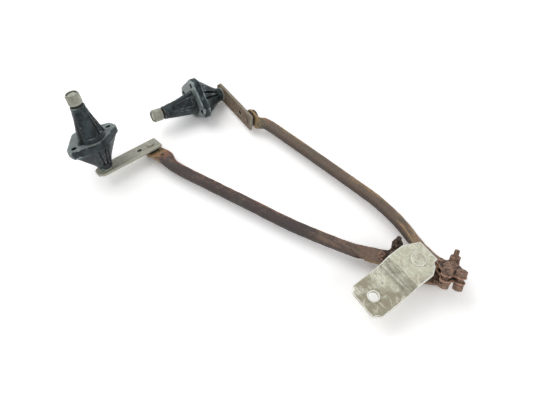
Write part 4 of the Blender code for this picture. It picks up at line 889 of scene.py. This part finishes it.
# How much facing up adds to a rod's lit side, where its painted light falls
SKYWARD = {"left": 0.30, "right": 0.25}
FOLD_LENGTH = 34.0 * MM
TEAR_PLACE = 30.0 * MM
TEAR_DEPTH = 1.3 * MM
HEAD_FLATS = 8.9 * MM
NUT_FLATS = 9.4 * MM
NUT_BORE = 2.2 * MM


def local_points(node, back):
    """A CAD node's vertices, brought into a piece's own frame."""
    return [back @ vert.co for vert in frame["nodes"][node].data.vertices]


def heights(points):
    """The lowest and the highest z of some points."""
    levels = [point.z for point in points]
    return min(levels), max(levels)


class WIPER_OT_finishes(Operator):
    """Make the finishes, and give each CAD piece that stays its own"""

    bl_idname = "wiper.finishes"
    bl_label = "Finishes"

    def execute(self, context):
        build_finishes(context.scene.linkage_colours)
        for side in SIDES:
            for part, finish_name in {**PLAIN_PIECES, "lever_pin": side + "_lever"}.items():
                for slot in frame["nodes"][f"{side}_{part}"].material_slots:
                    slot.material = FINISHES[finish_name]
        return {"FINISHED"}


class WIPER_OT_housings(Operator):
    """Skin the two cast pivot housings"""

    bl_idname = "wiper.housings"
    bl_label = "Pivot housings"

    def execute(self, context):
        sizes = context.scene.linkage_sizes
        for side in SIDES:
            node = side + "_pivot_housing"
            skin = worn_skin(
                node, sizes.cast_voxel, passes=3, swell=0.03 * MM, size=3.5 * MM, reach=0.16 * MM,
            )
            axis = np.array(JOINTS[side + "_shaft_turn"]["axis"])
            up = vertex_normals(skin.data) @ axis
            # Top marks faces that face up the shaft, which the casting finish paints lighter as a sheen.
            store(skin.data, "top", faded(up * 3.0 - 2.0))
            # Lug marks the lugs beyond the hub, which get rubbed patches and a painted glare.
            arm = vertex_places(skin.data) - np.array(JOINTS[side + "_shaft_turn"]["pos_m"])
            away = np.linalg.norm(arm - (arm @ axis)[:, None] * axis, axis=1)
            store(skin.data, "lug", faded((away - HUB_RADIUS) / (5.0 * MM)))
            dress(skin, "dark_casting", side + "_housing_body", "dark_casting", node)
        return {"FINISHED"}


class WIPER_OT_drivers(Operator):
    """Turn and knurl the two arm drivers"""

    bl_idname = "wiper.drivers"
    bl_label = "Arm drivers"

    def execute(self, context):
        sizes = context.scene.linkage_sizes
        tree = knurl_tree()
        for side in SIDES:
            node = side + "_arm_driver"
            placed = pivot_frame(side)
            back = placed.inverted()
            local = local_points(node, back)
            bottom, top = heights(local)
            crest = max(math.hypot(point.x, point.y) for point in local)
            bore = min(math.hypot(point.x, point.y) for point in local)
            root = crest - sizes.knurl_depth
            bevel = 0.9 * MM
            lip = 0.25 * MM
            rim = root - bevel
            recess = bore + 0.7 * MM
            floor = top - 2.0 * MM
            data = turned([
                (bore, bottom), (rim, bottom), (root, bottom + bevel), (root, top - 1.2 * MM),
                (root - lip, top - 0.6 * MM), (rim - 0.1 * MM, top), (recess + lip, top),
                (recess, top - lip), (recess, floor), (bore, floor),
            ], segments=64)
            driver = link(side + "_driver", data)
            tree.run(driver, {
                "Ridges": sizes.knurl_ridges, "Radius": root - 0.05 * MM, "Depth": sizes.knurl_depth,
                "Low": bottom + 0.7 * MM, "High": top - 1.3 * MM,
            })
            # Edge runs from -1 in the knurl's grooves to 1 on its crests; the steel finish paints shade in
            # the grooves.
            places = vertex_places(driver.data)
            ridge = (np.hypot(places[:, 0], places[:, 1]) - root) / sizes.knurl_depth * 2.0 - 1.0
            knurled = (places[:, 2] > bottom + 0.8 * MM) & (places[:, 2] < top - 1.1 * MM)
            store(driver.data, "edge", np.where(knurled, np.clip(ridge, -1.0, 1.0), 0.0))
            driver.data.transform(placed)
            driver.data.shade_smooth()
            driver.data.set_sharp_from_angle(angle=math.radians(35.0))
            dress(driver, "bright_steel", side + "_lever_body", "bright_steel", node)
        return {"FINISHED"}


class WIPER_OT_levers(Operator):
    """Skin the two flat levers"""

    bl_idname = "wiper.levers"
    bl_label = "Levers"

    def execute(self, context):
        sizes = context.scene.linkage_sizes
        for side in SIDES:
            node = side + "_lever"
            skin = worn_skin(
                node, sizes.plate_voxel, passes=1, swell=0.05 * MM, size=3.0 * MM, reach=0.12 * MM,
            )
            back = np.array(pivot_frame(side).inverted())
            places = vertex_places(skin.data)
            along = places @ back[0, :3] + back[0, 3]
            to_end = np.minimum(along + 8.0 * MM, 66.0 * MM - along)
            store(skin.data, "end", faded(1.0 - to_end / (16.0 * MM)))
            store(skin.data, "heel", faded(1.0 - (along + 10.0 * MM) / (24.0 * MM)))
            # The ring runs round the pin head, where the lever finish paints shade in the gap.
            shaft = Vector(JOINTS[side + "_shaft_turn"]["pos_m"])
            pin = (Vector(JOINTS[side + "_lever_turn"]["pos_m"]) - shaft).length
            beside = places @ back[1, :3] + back[1, 3]
            radius = np.hypot(along - pin, beside)
            store(skin.data, "ring", faded(1.0 - np.abs(radius - PIN_HEAD_RADIUS) / (0.9 * MM)))
            dress(skin, node, side + "_lever_body", "lever_steel", node)
        return {"FINISHED"}


class WIPER_OT_rods(Operator):
    """Skin the two bent rods, with their dents and swollen rust"""

    bl_idname = "wiper.rods"
    bl_label = "Rods"

    def execute(self, context):
        sizes = context.scene.linkage_sizes
        for side in SIDES:
            node = side + "_rod"
            skin = worn_skin(
                node, sizes.tube_voxel, passes=2, swell=0.14 * MM, size=5.0 * MM, reach=0.22 * MM,
            )
            data = skin.data
            places = vertex_places(data)
            out = vertex_normals(data)
            ball = np.array(SOCKETS[side]["ball"])
            pin = np.array(JOINTS[side + "_lever_turn"]["pos_m"])
            to_ball = np.linalg.norm(places - ball, axis=1)
            to_pin = np.linalg.norm(places - pin, axis=1)
            across = np.array((-(ball - pin)[1], (ball - pin)[0], 0.0))
            across /= np.linalg.norm(across)
            facing = out @ across
            # Side is how far the surface turns towards the lamps, across the rod and up; the tube finish
            # paints light and shade with it.
            store(data, "side", facing * 0.55 + out[:, 2] * SKYWARD[side])
            store(data, "near", faded(1.0 - to_ball / (95.0 * MM)))
            # Crease marks a fold line on the right rod, where the tube finish paints a highlight.
            if side == "right":
                line = (72.0 * MM - to_ball) / FOLD_LENGTH * 0.7 - 0.6
                fold = np.abs(facing - line) * 6.0 + np.abs(to_ball - 45.0 * MM) / FOLD_LENGTH
                store(data, "crease", faded(1.5 - fold * 0.85))
            store(data, "end", faded(1.3 - to_pin / (26.0 * MM)))
            near = faded(1.0 - to_ball / (75.0 * MM))
            dents = lumps(places, 9.0 * MM, 2)
            places = places + out * (dents * (0.12 + 0.30 * near) * MM)[:, None]
            if side == "left":
                along = (places - ball) @ ((pin - ball) / np.linalg.norm(pin - ball))
                torn = faded(1.6 - np.abs(along - TEAR_PLACE) / (6.0 * MM))
                torn *= faded(lumps(places, 3.2 * MM, 2) * 5.0)
                torn *= faded(facing * -2.0)
                places = places - out * (torn * TEAR_DEPTH)[:, None]
            set_places(data, places)
            dress(skin, side + "_tube", side + "_rod_body", "rusty_tube", node)
        return {"FINISHED"}


class WIPER_OT_sockets(Operator):
    """Skin the sockets' plates with rust scale"""

    bl_idname = "wiper.sockets"
    bl_label = "Ball sockets"

    def execute(self, context):
        sizes = context.scene.linkage_sizes
        for side in SIDES:
            for part in ("top", "base"):
                node = f"{side}_socket_{part}"
                skin = worn_skin(
                    node, sizes.rust_voxel, passes=2, swell=sizes.rust_swell, size=2.8 * MM,
                    reach=0.2 * MM,
                )
                dress(skin, RUSTS[side], side + "_rod_body", "rusty_steel", node)
            node = side + "_socket_rivet"
            rivet = worn_skin(
                node, sizes.rust_voxel, passes=2, swell=0.1 * MM, size=2.0 * MM, reach=0.2 * MM,
            )
            dress(rivet, RUSTS[side], side + "_rod_body", "rusty_steel", node)
        return {"FINISHED"}


class WIPER_OT_bolts(Operator):
    """Make the sockets' bolts with their threads and nuts"""

    bl_idname = "wiper.bolts"
    bl_label = "Socket bolts"

    def execute(self, context):
        sizes = context.scene.linkage_sizes
        tree = bolt_tree()
        for side in SIDES:
            placed = socket_frame(side)
            back = placed.inverted()
            made = []
            nodes = []
            for index in SOCKETS[side]["bolts"]:
                node = f"{side}_socket_bolt_{index}"
                nut_node = f"{side}_socket_nut_{index}"
                nodes += [node, nut_node]
                nut = local_points(nut_node, back)
                foot, tip = heights(local_points(node, back))
                low, high = heights(nut)
                middle = [sum(point[axis] for point in nut) / len(nut) for axis in (0, 1)]
                head = link("head", hexagon_block(HEAD_FLATS, foot, -low, 0.0))
                ring = link("ring", hexagon_block(NUT_FLATS, low, high, NUT_BORE))
                spot = bpy.data.meshes.new("spot")
                spot.from_pydata([(*middle, 0.0)], [], [])
                piece = link("bolt", spot)
                tree.run(piece, {
                    "Head": head, "Nut": ring, "Radius": 2.3 * MM, "Pitch": sizes.thread_pitch,
                    "Foot": foot + 0.6 * MM, "Tip": tip,
                })
                made.append(piece.data)
                for spent in (head, ring, piece):
                    bpy.data.objects.remove(spent)
            joined = bmesh.new()
            for data in made:
                joined.from_mesh(data)
            data = mesh_data(joined, side + "_bolts")
            data.transform(placed)
            data.shade_smooth()
            data.set_sharp_from_angle(angle=math.radians(40.0))
            bolts = link(side + "_socket_bolts", data)
            dress(bolts, BOLT_RUSTS[side], side + "_rod_body", "rusty_steel", *nodes)
        return {"FINISHED"}


class WIPER_OT_crank(Operator):
    """Skin the crank plate and the stud carrier"""

    bl_idname = "wiper.crank"
    bl_label = "Motor crank"

    def execute(self, context):
        sizes = context.scene.linkage_sizes
        plate = worn_skin(
            "crank_plate", sizes.plate_voxel, passes=1, swell=0.04 * MM, size=4.0 * MM, reach=0.12 * MM,
        )
        # Slope marks the joggle's sloped faces, where the zinc finish paints shade and glints.
        rise = vertex_normals(plate.data)[:, 2]
        store(plate.data, "slope", np.where(rise > 0.4, faded((1.0 - rise) * 7.0), 0.0))
        ball = np.array(SOCKETS["left"]["ball"])[:2]
        away = np.linalg.norm(vertex_places(plate.data)[:, :2] - ball, axis=1)
        store(plate.data, "motor", faded((away - 30.0 * MM) / (12.0 * MM)))
        dress(plate, "zinc_plate", "crank_body", "zinc_plate", "crank_plate")
        pillar = worn_skin(
            "crank_pillar", sizes.rust_voxel, passes=1, swell=0.04 * MM, size=2.0 * MM, reach=0.10 * MM,
        )
        dress(pillar, "zinc_plate", "crank_body", "zinc_plate", "crank_pillar")
        carrier = worn_skin(
            "stud_carrier", sizes.rust_voxel, passes=2, swell=0.12 * MM, size=2.6 * MM, reach=0.2 * MM,
        )
        dress(carrier, "rusty_steel", "crank_body", "rusty_steel", "stud_carrier")
        return {"FINISHED"}


class WIPER_OT_stage(Operator):
    """Lay the pale bench and set the lamps and the camera"""

    bl_idname = "wiper.stage"
    bl_label = "Stage"

    def execute(self, context):
        settings = context.scene.linkage_stage
        shift = SOCKETS["left"]["ball"] - DRAWN_BALL
        self.bench(context.scene.linkage_colours, shift)
        self.sky(settings.sky)
        self.lamp("key", settings.key_power, shift, place=Vector((-0.55, 0.35, 0.95)), size=0.9)
        self.lamp("fill", settings.fill_power, shift, place=Vector((0.75, -0.55, 0.60)), size=0.5)
        camera = bpy.data.objects.new("camera", bpy.data.cameras.new("camera"))
        camera.data.lens = settings.lens
        camera.data.sensor_width = 36.0
        camera.data.clip_start = 0.01
        aim = settings.elevation
        back = Vector((0.0, -math.cos(aim), math.sin(aim)))
        camera.location = shift + back * settings.distance
        camera.rotation_euler = (math.pi / 2.0 - aim, 0.0, 0.0)
        bpy.context.collection.objects.link(camera)
        context.scene.camera = camera
        context.scene.view_settings.view_transform = "Standard"
        return {"FINISHED"}

    def bench(self, tones, shift):
        """A wide pale bench top that shows white and keeps the shadow."""
        half = 3.0
        gap = 0.2 * MM
        data = bpy.data.meshes.new("bench")
        data.from_pydata(
            [(-half, -half, 0.0), (half, -half, 0.0), (half, half, 0.0), (-half, half, 0.0)],
            [], [(0, 1, 2, 3)],
        )
        bench = link("bench", data)
        bench.location = (shift.x, shift.y, -gap)
        shader = Shader("bench", tones.floor)
        light, glossy, through = [
            shader.node("ShaderNodeLightPath", {}, {}, f"Is {kind} Ray")
            for kind in ("Camera", "Glossy", "Transmission")
        ]
        seen = light.most(glossy).most(through)
        shade = shader.mix(shader.base, LIT_BENCH, seen)
        diffuse = shader.node("ShaderNodeBsdfDiffuse", {}, {"Color": shade})
        shader.tree.links.new(diffuse.socket, shader.output.inputs["Surface"])
        data.materials.append(shader.material)

    def sky(self, level):
        """Even light from all round, with a white background."""
        world = bpy.data.worlds.new("studio")
        bpy.context.scene.world = world
        world.use_nodes = True
        tree = world.node_tree
        tree.nodes.clear()
        output = tree.nodes.new("ShaderNodeOutputWorld")
        light = tree.nodes.new("ShaderNodeLightPath")
        soft = tree.nodes.new("ShaderNodeBackground")
        soft.inputs["Strength"].default_value = level
        white = tree.nodes.new("ShaderNodeBackground")
        white.inputs["Color"].default_value = (1.0, 1.0, 1.0, 1.0)
        white.inputs["Strength"].default_value = 1.0
        mixed = tree.nodes.new("ShaderNodeMixShader")
        tree.links.new(light.outputs["Is Camera Ray"], mixed.inputs[0])
        tree.links.new(soft.outputs[0], mixed.inputs[1])
        tree.links.new(white.outputs[0], mixed.inputs[2])
        tree.links.new(mixed.outputs[0], output.inputs["Surface"])

    def lamp(self, name, power, aim, place, size):
        """A square lamp that faces the linkage."""
        lamp = bpy.data.objects.new(name, bpy.data.lights.new(name, "AREA"))
        lamp.data.size = size
        lamp.data.energy = power
        lamp.location = place
        lamp.rotation_euler = (aim - place).to_track_quat("-Z", "Y").to_euler()
        bpy.context.collection.objects.link(lamp)


STEPS = (
    WIPER_OT_finishes,
    WIPER_OT_housings,
    WIPER_OT_drivers,
    WIPER_OT_levers,
    WIPER_OT_rods,
    WIPER_OT_sockets,
    WIPER_OT_bolts,
    WIPER_OT_crank,
    WIPER_OT_stage,
)


class WIPER_PT_linkage(Panel):
    """The steps that dress the linkage"""

    bl_label = "Wiper Linkage"
    bl_idname = "WIPER_PT_linkage"
    bl_space_type = "VIEW_3D"
    bl_region_type = "UI"
    bl_category = "Wiper Linkage"

    def draw(self, context):
        layout = self.layout
        scene = context.scene
        for group in (scene.linkage_sizes, scene.linkage_colours, scene.linkage_stage):
            box = layout.box()
            for key in group.__annotations__:
                box.prop(group, key)
        for step in STEPS:
            layout.operator(step.bl_idname)


CLASSES = (LinkageSizes, LinkageColours, StageSettings, *STEPS, WIPER_PT_linkage)


def register():
    """Register the classes and the scene's settings."""
    for item in CLASSES:
        bpy.utils.register_class(item)
    bpy.types.Scene.linkage_sizes = PointerProperty(type=LinkageSizes)
    bpy.types.Scene.linkage_colours = PointerProperty(type=LinkageColours)
    bpy.types.Scene.linkage_stage = PointerProperty(type=StageSettings)


def unregister():
    """Remove the scene's settings and the classes."""
    del bpy.types.Scene.linkage_stage
    del bpy.types.Scene.linkage_colours
    del bpy.types.Scene.linkage_sizes
    for item in reversed(CLASSES):
        bpy.utils.unregister_class(item)


def main():
    """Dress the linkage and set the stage."""
    register()
    for step in STEPS:
        group, name = step.bl_idname.split(".")
        getattr(getattr(bpy.ops, group), name)()


if __name__ == "__main__":
    main()
